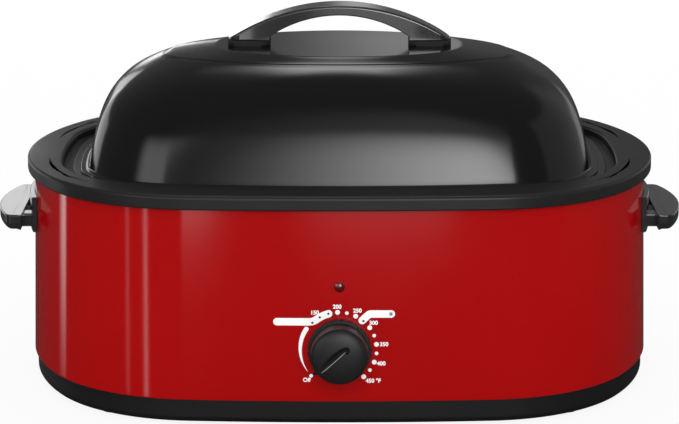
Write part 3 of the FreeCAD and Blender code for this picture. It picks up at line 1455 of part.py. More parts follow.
def rack_handle(label, side):
    """Upright wire loop welded on one end of the rack, swept along its bent middle line."""
    body = new_body(label)
    end_x = side * rack_plan.half_length
    sketch = new_sketch(body, "loop_line", "YZ_Plane", end_x)
    half = dim.rack_lift_half
    foot = dim.rack_frame_radius
    tall = dim.rack_lift_height
    bend = dim.rack_lift_bend
    lines = [
        ((-half, foot), (-half, tall - bend)),
        ((-half + bend, tall), (half - bend, tall)),
        ((half, tall - bend), (half, foot)),
    ]
    for (x1, y1), (x2, y2) in lines:
        begin = FreeCAD.Vector(x1.value, y1.value, 0)
        finish = FreeCAD.Vector(x2.value, y2.value, 0)
        sketch.addGeometry(Part.LineSegment(begin, finish), False)
    middle = (half - bend).value
    level = (tall - bend).value
    sketch.addGeometry(arc_about(-middle, level, bend.value, math.pi / 2, math.pi), False)
    sketch.addGeometry(arc_about(middle, level, bend.value, 0, math.pi / 2), False)
    joins = [(0, 2, 3, 2), (3, 1, 1, 1), (1, 2, 4, 2), (4, 1, 2, 1)]
    sketch.addConstraint([Sketcher.Constraint("Tangent", *join) for join in joins])
    constrain(sketch, "DistanceX", (-1, 1, 0, 1), -half)
    constrain(sketch, "DistanceY", (-1, 1, 0, 1), foot)
    constrain(sketch, "DistanceX", (-1, 1, 2, 2), half)
    constrain(sketch, "DistanceY", (-1, 1, 2, 2), foot)
    sketch.addConstraint([Sketcher.Constraint("Vertical", 0), Sketcher.Constraint("Vertical", 2)])
    constrain(sketch, "DistanceY", (-1, 1, 1, 1), tall)
    sketch.addConstraint(Sketcher.Constraint("Horizontal", 1))
    constrain(sketch, "Radius", (3,), bend)
    sketch.addConstraint(Sketcher.Constraint("Equal", 3, 4))
    ring = circles_sketch(body, "loop_wire", [(end_x, -half)], dim.rack_loop_radius, offset=foot)
    pipe = body.newObject("PartDesign::AdditivePipe", "loop_pipe")
    pipe.Profile = ring
    pipe.Spine = (sketch, [])
    doc.recompute()
    return node(label, body, z=rack_level)


def roasting_rack():
    """Welded wire rack: oblong frame, cross wires and four short feet."""
    body = new_body("rack_frame")
    spine = plan_sketch(body, "frame_line", rack_plan)
    start = [(-rack_plan.half_depth, ZERO)]
    ring = circles_sketch(body, "frame_wire", start, dim.rack_frame_radius, "YZ_Plane")
    pipe = body.newObject("PartDesign::AdditivePipe", "frame_pipe")
    pipe.Profile = ring
    pipe.Spine = (spine, [])
    doc.recompute()
    pieces = [body]
    lift = (dim.rack_frame_radius + dim.rack_wire_radius) * 0.8
    straight = rack_plan.joints()[0]
    count = int(straight // dim.rack_pitch.value)
    for i in range(-count, count + 1):
        x = i * dim.rack_pitch
        half = rack_plan.front_at(x.value)
        pieces.append(
            cylinder(f"cross_wire_{i + count}", dim.rack_wire_radius, 2 * half, x, -half, lift, FACING_BACK)
        )
    across = FreeCAD.Rotation(FreeCAD.Vector(0, 1, 0), 90)
    for i, end in enumerate((-1, 1)):
        long_wire = cylinder(
            f"long_wire_{i}",
            dim.rack_frame_radius,
            rack_plan.half_length * 2,
            -rack_plan.half_length,
            end * rack_plan.half_depth * 0.4,
            0,
            across,
        )
        pieces.append(long_wire)
    tall = dim.rack_height - dim.seat_gap
    for i, (x, y) in enumerate(corners_of(straight * 0.9, rack_plan.half_depth * 0.4)):
        pieces.append(cylinder(f"rack_foot_{i}", dim.rack_loop_radius, tall, x, y, -tall))
    return node("roasting_rack", fuse("rack_weld", pieces), z=rack_level)


# ---------------------------------------------------------------- lid


def lid_inset(rise, sweep):
    """How far the dome has drawn in at a height: a steady lean and a shoulder of the power 4.5."""
    share = rise.value / dim.lid_wall_rise.value
    return dim.lid_lean * rise + sweep * share**4.5


def lid_plan_at(share, wall):
    """Outline of the dome at a share of its rise, drawn in by the wall for the inside."""
    rise = dim.lid_wall_rise * share
    end_inset = lid_inset(rise, dim.lid_end_sweep)
    side_inset = lid_inset(rise, dim.lid_side_sweep)
    mix = end_inset.value / lid_inset(dim.lid_wall_rise, dim.lid_end_sweep).value
    half_length = lid_flange_length / 2 - dim.lid_flange_end - end_inset
    half_depth = lid_flange_depth / 2 - dim.lid_flange_side - side_inset
    corner = dim.lid_corner * (1 - mix) + dim.lid_crease_corner * mix
    front_crown = dim.lid_front_crown * (1 - mix) + dim.crease_front_crown * mix
    end_crown = dim.lid_end_crown * (1 - mix) + dim.crease_end_crown * mix
    plan = Plan(
        half_length,
        half_depth,
        corner,
        bow_radius(half_length, front_crown),
        bow_radius(half_depth, end_crown),
    )
    return plan.grown(-wall)


def panel_plan(wall):
    """Outline of the flat top panel, an oval inside the crease, drawn in by the wall for the inside."""
    crease = lid_plan_at(1, ZERO)
    half_length = crease.half_length - dim.panel_end_band
    half_depth = crease.half_depth - dim.panel_side_band
    plan = Plan(
        half_length,
        half_depth,
        dim.panel_corner,
        bow_radius(half_length, dim.panel_front_crown),
        bow_radius(half_depth, dim.panel_end_crown),
    )
    return plan.grown(-wall)


def free_loft(name, sketches, ruled=False):
    thing = doc.addObject("Part::Loft", name)
    thing.Sections = sketches
    thing.Solid = True
    thing.Ruled = ruled
    return thing


WALL_SHARES = (0, 0.3, 0.55, 0.74, 0.88, 1)


def dome_solid(name, wall, drop):
    """Solid dome and top panel, drawn in by a wall and lowered by a drop."""
    wall_foot = lid_foot - drop
    crown_foot = lid_crease - drop
    walls = [
        plan_sketch(None, f"{name}_wall_{i}", lid_plan_at(share, wall), wall_foot + dim.lid_wall_rise * share)
        for i, share in enumerate(WALL_SHARES)
    ]
    band = [
        plan_sketch(None, f"{name}_crease", lid_plan_at(1, wall), crown_foot),
        plan_sketch(None, f"{name}_panel_edge", panel_plan(wall), crown_foot + dim.panel_rise),
    ]
    return [free_loft(f"{name}_dome", walls), free_loft(f"{name}_panel", band, ruled=True)]


def lid_shell():
    """High domed lid of one sheet: flat rim, swept wall, sloping band, flat oval panel on top."""
    outer = dome_solid("lid_outer", ZERO, ZERO)
    inner = dome_solid("lid_inner", dim.lid_wall, dim.lid_wall)
    flange_sketch = plan_sketch(None, "lid_flange_outline", lid_flange_plan, lid_flange_under)
    flange = doc.addObject("Part::Extrusion", "lid_flange_plate")
    flange.Base = flange_sketch
    flange.Dir = FreeCAD.Vector(0, 0, 1)
    flange.Solid = True
    bind(flange, "LengthFwd", dim.lid_flange_thickness)
    spots = [-dim.handle_screw_x, dim.handle_screw_x]
    below = lid_flange_under - 1
    mouth_sketch = plan_sketch(None, "lid_mouth_outline", lid_plan_at(0, dim.lid_wall), below)
    mouth = doc.addObject("Part::Extrusion", "lid_mouth")
    mouth.Base = mouth_sketch
    mouth.Dir = FreeCAD.Vector(0, 0, 1)
    mouth.Solid = True
    bind(mouth, "LengthFwd", dim.lid_flange_thickness + 1)
    solid = fuse("lid_solid", outer + [flange])
    shell = cut("lid_hollowed", solid, fuse("lid_inside", inner + [mouth]))
    holes = [
        cylinder(f"lid_screw_hole_{i}", dim.screw_radius + dim.screw_clearance, 20, x, 0, seat_floor - 10)
        for i, x in enumerate(spots)
    ]
    return node("lid_shell", cut("lid_drilled", shell, fuse("lid_screw_holes", holes)))


handle_plan = Plan(
    dim.handle_half_span,
    dim.handle_width / 2,
    dim.handle_tip_round,
    bow_radius(dim.handle_half_span, dim.handle_side_crown),
    bow_radius(dim.handle_width / 2, dim.handle_end_crown),
)


def lid_handle():
    """Arched strap handle with broad feet, narrower towards its tips."""
    body = new_body("lid_handle")
    span = dim.handle_half_span
    inner = dim.handle_inner_half_span
    top = dim.handle_rise
    tip = dim.handle_tip_height
    leg = dim.handle_leg_height
    outer_bow = bow_radius(span, top - tip)
    under_rise = top - dim.handle_grip_thickness - leg
    inner_bow = bow_radius(inner, under_rise)
    sketch = new_sketch(body, "arch_outline", "XZ_Plane", -dim.handle_width / 2)
    outer_centre = (top - outer_bow).value
    outer_swing = math.asin(span.value / outer_bow.value)
    inner_centre = (leg + under_rise - inner_bow).value
    inner_swing = math.asin(inner.value / inner_bow.value)
    upright = math.pi / 2
    sketch.addGeometry(
        arc_about(0, outer_centre, outer_bow.value, upright - outer_swing, upright + outer_swing), False
    )
    sketch.addGeometry(
        arc_about(0, inner_centre, inner_bow.value, upright - inner_swing, upright + inner_swing), False
    )
    corners = [
        [(-span, tip), (-span, ZERO), (-inner, ZERO), (-inner, leg)],
        [(inner, leg), (inner, ZERO), (span, ZERO), (span, tip)],
    ]
    for run in corners:
        for (x1, y1), (x2, y2) in zip(run, run[1:]):
            begin = FreeCAD.Vector(x1.value, y1.value, 0)
            finish = FreeCAD.Vector(x2.value, y2.value, 0)
            sketch.addGeometry(Part.LineSegment(begin, finish), False)
    joins = [(0, 2, 2, 1), (2, 2, 3, 1), (3, 2, 4, 1), (4, 2, 1, 2)]
    joins += [(1, 1, 5, 1), (5, 2, 6, 1), (6, 2, 7, 1), (7, 2, 0, 1)]
    sketch.addConstraint([Sketcher.Constraint("Coincident", *join) for join in joins])
    for line, run in ((2, corners[0]), (5, corners[1])):
        for i, (x, y) in enumerate(run):
            spot = (line + i, 1) if i < 3 else (line + 2, 2)
            constrain(sketch, "DistanceX", (-1, 1, *spot), x)
            constrain(sketch, "DistanceY", (-1, 1, *spot), y)
    constrain(sketch, "Radius", (0,), outer_bow)
    constrain(sketch, "Radius", (1,), inner_bow)
    pad(body, "arch", sketch, dim.handle_width, reverse=False)
    around = new_sketch(body, "waist_outline")
    add_polygon(around, box_points(0, 0, span * 2 + 40, dim.handle_width + 40))
    add_plan(around, handle_plan)
    waist = pocket(body, "waist", around)
    fillet(body, "edge_rounds", waist, dim.handle_edge_round, handle_top_edges)
    spots = [(-dim.handle_screw_x, ZERO), (dim.handle_screw_x, ZERO)]
    bores = circles_sketch(body, "handle_bores", spots, dim.screw_radius + dim.screw_clearance)
    pocket(body, "screw_bores", bores, dim.handle_bore_depth)
    return node("lid_handle", body, z=handle_foot)


def handle_top_edges(edge):
    """The upper edges of the arch, front and back."""
    box = edge.BoundBox
    middle = edge.valueAt((edge.FirstParameter + edge.LastParameter) / 2)
    span = dim.handle_half_span.value
    rise = (dim.handle_rise - dim.handle_tip_height).value
    bow = (span**2 + rise**2) / (2 * rise)
    on_arc = abs(math.hypot(middle.x, middle.z - dim.handle_rise.value + bow) - bow) < 0.05
    return on_arc and box.ZMax > dim.handle_tip_height.value + 0.5


def handle_gasket(label, side):
    """Heat-resisting pad between a handle foot and its seat."""
    body = new_body(label)
    middle = (dim.handle_half_span + dim.handle_inner_half_span) / 2
    half = (dim.handle_half_span - dim.handle_inner_half_span) / 2
    plan = Plan(
        half + dim.gasket_lap_x,
        dim.handle_width / 2 + dim.gasket_lap_y,
        dim.gasket_round,
        bow_radius(half, dim.gasket_side_crown),
        bow_radius(dim.handle_width / 2, dim.gasket_end_crown),
    )
    pad(body, "gasket", plan_sketch(body, "gasket_outline", plan), dim.gasket_thickness)
    spot = side * dim.handle_screw_x - side * middle
    pocket(
        body,
        "gasket_way",
        circles_sketch(body, "gasket_hole", [(spot, ZERO)], dim.screw_radius + dim.screw_clearance),
    )
    return node(label, body, x=side * middle, z=seat_floor)


def lid_handle_screws():
    """Screws from inside the lid up into the handle's feet."""
    screws = []
    bearing = seat_floor - dim.lid_wall
    length = dim.lid_wall + dim.gasket_thickness + dim.handle_bore_depth - dim.handle_bore_end
    for i, side in enumerate((-1, 1)):
        screws.append(screw(f"lid_screw_{i}", side * dim.handle_screw_x, 0, bearing, UPRIGHT, length))
    return node("lid_handle_screws", group("lid_screw_group", screws))


# ---------------------------------------------------------------- assembly


def build():
    base_tray()
    for name_y, end in (("front", -1), ("rear", 1)):
        for name_x, side in (("left", -1), ("right", 1)):
            rubber_foot(f"foot_{name_y}_{name_x}", side * foot_x, end * foot_y)
    casing_half("casing_front", -1)
    casing_half("casing_rear", 1)
    rim_collar()
    inner_liner()
    liner_screws()
    heating_band()
    insulation_blanket()
    floor_insulation()
    heat_shield()
    shield_posts()
    tie_bolts()
    side_handle("side_handle_left", -1)
    side_handle("side_handle_right", 1)
    handle_screws()
    thermostat_bracket()
    thermostat_body()
    thermostat_screws()
    thermostat_nuts()
    capillary_sensor()
    sensor_clip()
    indicator_lens()
    indicator_lamp()
    cord_gland()
    terminal_block()
    thermal_fuse()
    internal_leads()
    control_knob()
    thermostat_shaft()
    knob_clip()
    cooking_pan()
    roasting_rack()
    rack_handle("rack_handle_left", -1)
    rack_handle("rack_handle_right", 1)
    lid_shell()
    lid_handle()
    handle_gasket("handle_gasket_left", -1)
    handle_gasket("handle_gasket_right", 1)
    lid_handle_screws()


def check():
    """Stop if any object failed or any sub-part's shape is not sound."""
    for thing in doc.Objects:
        if "Invalid" in thing.State or "Error" in thing.State:
            raise RuntimeError(f"{thing.Name} did not compute")
    for label, thing in nodes:
        if thing.Shape.isNull() or not thing.Shape.isValid() or not thing.Shape.Solids:
            raise RuntimeError(f"{label} is not a sound solid")


def export():
    os.makedirs("parts", exist_ok=True)
    for label, thing in nodes:
        thing.Shape.exportStep(os.path.join("parts", label + ".step"))


build()
doc.recompute()
check()
export()
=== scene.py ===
"""Surfaces, finishes and studio of an electric roaster oven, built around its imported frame.

Sizes in the classes are millimetres about the oven's own middle; meshes are put down in metres.
"""

import json
import logging
import math
from collections.abc import Sequence
from dataclasses import dataclass, field
from enum import Enum

import bmesh
import bpy
import numpy as np
import numpy.typing as npt
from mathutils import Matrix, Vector


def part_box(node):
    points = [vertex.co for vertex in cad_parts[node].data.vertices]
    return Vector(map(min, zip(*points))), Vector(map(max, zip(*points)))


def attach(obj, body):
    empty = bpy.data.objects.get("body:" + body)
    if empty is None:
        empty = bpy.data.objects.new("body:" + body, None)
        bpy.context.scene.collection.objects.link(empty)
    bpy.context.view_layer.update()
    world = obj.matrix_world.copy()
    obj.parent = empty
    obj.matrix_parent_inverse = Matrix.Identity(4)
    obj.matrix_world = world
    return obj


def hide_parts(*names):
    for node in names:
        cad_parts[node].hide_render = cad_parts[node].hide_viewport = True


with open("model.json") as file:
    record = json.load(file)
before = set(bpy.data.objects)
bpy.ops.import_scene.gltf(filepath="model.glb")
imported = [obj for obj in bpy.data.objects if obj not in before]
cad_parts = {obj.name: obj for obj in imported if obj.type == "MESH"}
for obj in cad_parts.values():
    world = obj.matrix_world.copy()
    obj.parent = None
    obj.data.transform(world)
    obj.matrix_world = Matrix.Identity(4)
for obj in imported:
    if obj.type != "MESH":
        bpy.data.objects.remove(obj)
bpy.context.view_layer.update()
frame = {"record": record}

log = logging.getLogger("roaster")
FloatArray = npt.NDArray[np.float64]

MM = 0.001  # metres in a millimetre


# ---------------------------------------------------------------- outlines and profiles


@dataclass(frozen=True)
class NodeBox:
    """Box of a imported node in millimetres."""

    low: FloatArray
    high: FloatArray

    @classmethod
    def of(cls, node: str) -> "NodeBox":
        """Reads the box of a node from the frame."""
        low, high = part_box(node)
        return cls(np.array(low) / MM, np.array(high) / MM)

    @property
    def centre(self) -> FloatArray:
        """Middle of the box."""
        return (self.low + self.high) / 2

    @property
    def half(self) -> FloatArray:
        """Half the box's size along each axis."""
        return (self.high - self.low) / 2


MIDDLE_Y = float(NodeBox.of("rim_collar").centre[1])  # the oven's own middle in the frame


def bow_radius(half_chord: float, crown: float) -> float:
    """Radius of an arc from half its chord h and its rise c over it: (h*h + c*c) / 2c."""
    return (half_chord**2 + crown**2) / (2 * crown)


@dataclass(frozen=True)
class Plan:
    """Outline of three arcs a quarter: bowed end, round corner, bowed side."""

    half_length: float
    half_depth: float
    corner: float
    side_bow: float
    end_bow: float

    COUNTS = (16, 44, 40)  # points along a half end, a corner and a half side

    @classmethod
    def from_crowns(
        cls, half_length: float, half_depth: float, corner: float, side_crown: float, end_crown: float
    ) -> "Plan":
        """Outline from its size and from how far its sides and ends bow out.

        Args:
            half_length: middle to end.
            half_depth: middle to side.
            corner: radius of the corners.
            side_crown: rise of a long side's arc over its chord.
            end_crown: rise of an end's arc over its chord.

        Returns:
            The outline, with each crown turned into a radius.
        """
        side_bow = bow_radius(half_length, side_crown)
        end_bow = bow_radius(half_depth, end_crown)
        return cls(half_length, half_depth, corner, side_bow, end_bow)

    def grown(self, by: float) -> "Plan":
        """The parallel outline that lies further out by that much.

        Args:
            by: distance outwards, or inwards where it is below 0.

        Returns:
            The outline, with that much added to its sizes and radii.
        """
        return Plan(
            self.half_length + by,
            self.half_depth + by,
            self.corner + by,
            self.side_bow + by,
            self.end_bow + by,
        )

    def joints(self) -> tuple[float, float, float, float]:
        """Centre of the corner's arc and the angles where it meets the end's and the side's arcs.

        Formula: the corner's centre lies where two circles cross, one about the side's centre with
        radius side_bow - corner, one about the end's centre with radius end_bow - corner.

        Returns:
            The centre's x and y, the angle at the end's arc and the angle at the side's.
        """
        side = self.half_depth - self.side_bow
        end = self.half_length - self.end_bow
        apart = math.hypot(side, end)
        to_side = self.side_bow - self.corner
        to_end = self.end_bow - self.corner
        along = (to_side**2 - to_end**2 + apart**2) / (2 * apart)
        off = math.sqrt(to_side**2 - along**2)
        unit_x, unit_y = end / apart, -side / apart
        centre_x = along * unit_x - off * unit_y
        centre_y = side + along * unit_y + off * unit_x
        if centre_x < 0:
            centre_x = along * unit_x + off * unit_y
            centre_y = side + along * unit_y - off * unit_x
        meets_end = math.atan2(centre_y, centre_x - end)
        meets_side = math.atan2(centre_y - side, centre_x)
        return centre_x, centre_y, meets_end, meets_side

    def loop(self) -> tuple[FloatArray, FloatArray]:
        """Points and outward normals, anticlockwise from the middle of the right end.

        Formula: each arc is centre + radius * (cos a, sin a) with a its own normal's angle; the
        first quarter is mirrored to make the other three.

        Returns:
            Points and normals, one per row.
        """
        centre_x, centre_y, meets_end, meets_side = self.joints()
        ends, corners, sides = self.COUNTS
        angles = np.concatenate(
            [
                np.linspace(0, meets_end, ends, endpoint=False),
                np.linspace(meets_end, meets_side, corners, endpoint=False),
                np.linspace(meets_side, math.pi / 2, sides + 1),
            ]
        )
        counts = (ends, corners, sides + 1)
        x = np.repeat([self.half_length - self.end_bow, centre_x, 0.0], counts)
        y = np.repeat([0.0, centre_y, self.half_depth - self.side_bow], counts)
        radius = np.repeat([self.end_bow, self.corner, self.side_bow], counts)
        normals = np.column_stack([np.cos(angles), np.sin(angles)])
        quarter = np.column_stack([x, y]) + normals * radius[:, None]
        return mirrored(quarter), mirrored(normals)

    def front_at(self, x: FloatArray | float) -> FloatArray | float:
        """Distance of the bowed side from the middle line at x."""
        return self.half_depth - self.side_bow + np.sqrt(self.side_bow**2 - np.asarray(x) ** 2)

    def end_at(self, y: FloatArray | float) -> FloatArray | float:
        """Distance of the bowed end from the middle line at y."""
        return self.half_length - self.end_bow + np.sqrt(self.end_bow**2 - np.asarray(y) ** 2)


def mirrored(quarter: FloatArray) -> FloatArray:
    """A closed loop from its first quarter, which includes both of its ends."""
    ahead, back = quarter[:-1], quarter[:0:-1]
    return np.concatenate([ahead, back * (-1, 1), ahead * (-1, -1), back * (1, -1)])


def rounded_path(
    corners: Sequence[tuple[float, float, float]], steps: int = 6, closed: bool = False, hold: float = 0.4
) -> FloatArray:
    """Path through corners whose turns are arcs.

    Formula: a corner that turns by a with radius r is cut back by r * tan(a / 2) on both sides and
    an arc joins the cuts. A point stands a little beyond each cut, so that flats shade flat.

    Args:
        corners: (u, v, radius) of each corner.
        steps: pieces of each arc.
        closed: whether the path returns to its start.
        hold: distance of the extra point from its arc.

    Returns:
        Points of the path, one per row.
    """
    spots = np.array([corner[:2] for corner in corners], dtype=float)
    count = len(spots)
    path: list[FloatArray] = []
    for i, (_, _, radius) in enumerate(corners):
        here = spots[i]
        if not closed and i in (0, count - 1):
            path.append(here[None])
            continue
        before, after = here - spots[i - 1], spots[(i + 1) % count] - here
        long_before, long_after = np.linalg.norm(before), np.linalg.norm(after)
        before, after = before / long_before, after / long_after
        turn = math.atan2(before[0] * after[1] - before[1] * after[0], float(before @ after))
        cut = radius * abs(math.tan(turn / 2))
        lead = min(hold, long_before / 4)
        trail = min(hold, long_after / 4)
        if radius <= 0:
            path.append(np.array([here - before * lead, here, here + after * trail]))
            continue
        side = math.copysign(1.0, turn)
        centre = here - before * cut + np.array([-before[1], before[0]]) * radius * side
        spoke = here - before * cut - centre
        angles = math.atan2(spoke[1], spoke[0]) + np.linspace(0, turn, steps + 1)
        arc = centre + radius * np.column_stack([np.cos(angles), np.sin(angles)])
        path.append(np.vstack([here - before * (cut + lead), arc, here + after * (cut + trail)]))
    return np.vstack(path)


def rounded_box(
    half: float, low: float, high: float, under: float, over: float, hold: float = 0.4
) -> FloatArray:
    """Closed path round a box between two heights, with its own radius below and above.

    Formula: four corners at +- half and the two heights, joined by rounded_path.

    Args:
        half: half the width.
        low: height of the underside.
        high: height of the top.
        under: radius of the lower corners.
        over: radius of the upper corners.
        hold: distance of the extra point from its arc.

    Returns:
        Points of the path, one per row.
    """
    corners = [(-half, low, under), (half, low, under), (half, high, over), (-half, high, over)]
    return rounded_path(corners, closed=True, hold=hold)


def distances(path: FloatArray) -> FloatArray:
    """Distance of each point from the first along a path."""
    return np.concatenate([[0], np.cumsum(np.linalg.norm(np.diff(path, axis=0), axis=1))])


def resampled(path: FloatArray, spots: FloatArray) -> FloatArray:
    """Points of a path at the given distances along it."""
    return np.column_stack([np.interp(spots, distances(path), path[:, i]) for i in (0, 1)])


def rings(plan: Plan, stations: FloatArray) -> FloatArray:
    """Rows of points round a plan, each row moved out and up as its station says.

    Formula: row = outline + normal * station[0], at height station[1].

    Args:
        plan: the outline.
        stations: distance outwards and height of each row.

    Returns:
        Grid of rows, columns and coordinates.
    """
    points, normals = plan.loop()
    flat = points[None] + normals[None] * stations[:, 0][:, None, None]
    height = np.broadcast_to(stations[:, 1][:, None, None], flat.shape[:2] + (1,))
    return np.concatenate([flat, height], axis=2)


def drawn_in(ring: FloatArray, shares: FloatArray) -> FloatArray:
    """Rows that shrink a ring towards the middle at its own height, by each share in turn."""
    scale = np.array([1.0, 1.0, 0.0]) * shares[:, None] + np.array([0.0, 0.0, 1.0])
    return ring[None] * scale[:, None, :]


def floored(stack: FloatArray, count: int) -> FloatArray:
    """A stack of rings with rows drawn in to the middle before its first ring and after its last."""
    shares = np.linspace(0, 1, count)[:-1]
    return np.concatenate([drawn_in(stack[0], shares), stack, drawn_in(stack[-1], shares)[::-1]])


def turned(profile: FloatArray, count: int) -> FloatArray:
    """Rows of a turned shape about its own Z axis from a profile of (radius, height).

    Formula: each point is (radius * cos a, radius * sin a, height), with a spread evenly.

    Args:
        profile: radius and height of each row.
        count: points round the turn.

    Returns:
        Grid of rows, columns and coordinates.
    """
    angles = np.linspace(0, 2 * math.pi, count, endpoint=False)
    x = profile[:, 0][:, None] * np.cos(angles)
    y = profile[:, 0][:, None] * np.sin(angles)
    z = np.broadcast_to(profile[:, 1][:, None], x.shape)
    return np.stack([x, y, z], axis=2)


def facing_front(grid: FloatArray, place: Sequence[float], turn: float = 0.0) -> FloatArray:
    """Lays a shape built along +Z so that it points to the front, and moves it to its place.

    Formula: turn about its own axis, then (x, y, z) becomes (x, -z, y) plus the place.

    Args:
        grid: points about the own Z axis.
        place: where the foot of that axis comes to lie.
        turn: turn about that axis, in radians.

    Returns:
        The points in their place.
    """
    cos, sin = math.cos(turn), math.sin(turn)
    x = grid[..., 0] * cos - grid[..., 1] * sin
    y = grid[..., 0] * sin + grid[..., 1] * cos
    return np.stack([x, -grid[..., 2], y], axis=-1) + np.array(place)


def smooth(value: FloatArray, start: float, end: float) -> FloatArray:
    """0 before start, 1 after end, and 3t*t - 2t*t*t between them."""
    share = np.clip((value - start) / (end - start), 0, 1)
    return share * share * (3 - 2 * share)


# ---------------------------------------------------------------- meshes


@dataclass(frozen=True)
class Patch:
    """A grid of points that becomes quads: each row closes on itself, and the rows may too."""

    grid: FloatArray
    wrap_rows: bool = False

    def quads(self, start: int) -> npt.NDArray[np.int64]:
        """Corner numbers of the quads, counted from start.

        Formula: quad (r, c), (r, c+1), (r+1, c+1), (r+1, c), so rows that climb the outside of an
        anticlockwise ring face outwards.

        Args:
            start: number of the grid's first point.

        Returns:
            Four corner numbers per quad.
        """
        rows, columns = self.grid.shape[:2]
        index = np.arange(rows * columns).reshape(rows, columns) + start
        if self.wrap_rows:
            index = np.vstack([index, index[:1]])
        index = np.hstack([index, index[:, :1]])
        corners = [index[:-1, :-1], index[:-1, 1:], index[1:, 1:], index[1:, :-1]]
        return np.stack(corners, axis=-1).reshape(-1, 4)


CAP_HOLD = 0.06  # share of the way in at which a cap's extra row stands, so that its edge stays crisp


def capped(grid: FloatArray) -> FloatArray:
    """A tube's rows with a row drawn in to the middle at both ends.

    Formula: each end's rows are end + (middle - end) * share, with the middle the mean of its
    points.

    Args:
        grid: rows of the tube.

    Returns:
        The rows with two more at each end.
    """
    first = np.broadcast_to(grid[0].mean(axis=0), grid[0].shape)
    last = np.broadcast_to(grid[-1].mean(axis=0), grid[-1].shape)
    near_first = grid[0] + (first - grid[0]) * CAP_HOLD
    near_last = grid[-1] + (last - grid[-1]) * CAP_HOLD
    return np.concatenate([first[None], near_first[None], grid, near_last[None], last[None]])


def mesh_of(name: str, patches: Sequence[Patch]) -> bpy.types.Mesh:
    """One mesh from several patches, with shared points merged.

    Args:
        name: name of the mesh.
        patches: grids in millimetres about the oven's own middle.

    Returns:
        The mesh in metres in the frame.
    """
    faces: list[npt.NDArray[np.int64]] = []
    points: list[FloatArray] = []
    start = 0
    for patch in patches:
        faces.append(patch.quads(start))
        points.append(patch.grid.reshape(-1, 3))
        start += len(points[-1])
    corners = np.concatenate(faces)
    spots = (np.concatenate(points) + (0, MIDDLE_Y, 0)) * MM
    mesh = bpy.data.meshes.new(name)
    mesh.vertices.add(len(spots))
    mesh.vertices.foreach_set("co", spots.ravel())
    mesh.loops.add(corners.size)
    mesh.loops.foreach_set("vertex_index", corners.ravel())
    mesh.polygons.add(len(corners))
    mesh.polygons.foreach_set("loop_start", np.arange(0, corners.size, 4))
    mesh.update(calc_edges=True)
    merge_points(mesh)
    return mesh


MERGE_WITHIN = 2e-7  # metres between points that count as one


def merge_points(mesh: bpy.types.Mesh) -> None:
    """Joins points that lie on each other, which closes seams and poles.

    Args:
        mesh: the mesh, which is changed in place.
    """
    work = bmesh.new()
    work.from_mesh(mesh)
    bmesh.ops.remove_doubles(work, verts=work.verts, dist=MERGE_WITHIN)
    work.to_mesh(mesh)
    work.free()


def shade(mesh: bpy.types.Mesh, angle: float) -> None:
    """Smooth shading with edges sharper than the angle, in degrees, left crisp."""
    mesh.polygons.foreach_set("use_smooth", np.ones(len(mesh.polygons), dtype=bool))
    mesh.set_sharp_from_angle(angle=math.radians(angle))


class Body(Enum):
    """Bodies of the frame that pieces ride on."""

    HOUSING = "housing"
    KNOB = "knob"
    PAN = "pan"
    RACK = "rack"
    LID = "lid"


def add_piece(
    name: str,
    shape: Sequence[Patch] | bpy.types.Mesh,
    body: Body,
    finish: bpy.types.Material,
    stands_for: Sequence[str] = (),
    sharp: float = 35.0,
) -> None:
    """Makes and links a piece of the oven.

    Args:
        name: name of the piece.
        shape: its surfaces, or its finished mesh in metres in the frame.
        body: what it moves with.
        finish: its material.
        stands_for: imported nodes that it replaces.
        sharp: edges that turn by more than this many degrees stay crisp.
    """
    mesh = shape if isinstance(shape, bpy.types.Mesh) else mesh_of(name, shape)
    shade(mesh, sharp)
    piece = bpy.data.objects.new(name, mesh)
    bpy.context.scene.collection.objects.link(piece)
    mesh.materials.append(finish)
    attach(piece, body.value)
    if stands_for:
        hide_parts(*stands_for)
    log.info("%s: %d faces", name, len(mesh.polygons))


# ---------------------------------------------------------------- finishes


def linear(code: str) -> tuple[float, float, float, float]:
    """Linear colour of an sRGB hex code such as #93010A.

    Formula: value / 12.92 where it is dark, and ((value + 0.055) / 1.055) ** 2.4 elsewhere.

    Args:
        code: the colour's hex code.

    Returns:
        Red, green, blue and an alpha of 1.
    """
    raw = np.array([int(code[i : i + 2], 16) for i in (1, 3, 5)]) / 255
    value = np.where(raw <= 0.04045, raw / 12.92, ((raw + 0.055) / 1.055) ** 2.4)
    return (*value.tolist(), 1.0)


def add_node(
    tree: bpy.types.NodeTree, kind: str, inputs: dict[str | int, object] | None = None, **settings: object
) -> bpy.types.Node:
    """Adds a node, sets its properties and sets or links its inputs.

    Args:
        tree: the node tree.
        kind: the node's type name.
        inputs: socket name or number to a value, or to the output that feeds it.
        **settings: properties of the node.

    Returns:
        The new node.
    """
    node = tree.nodes.new(kind)
    for key, value in settings.items():
        setattr(node, key, value)
    for key, value in (inputs or {}).items():
        if isinstance(value, bpy.types.NodeSocket):
            tree.links.new(value, node.inputs[key])
        else:
            node.inputs[key].default_value = value
    return node


NOISE_RANGE = (0.3, 0.7)  # where most values of a noise texture lie


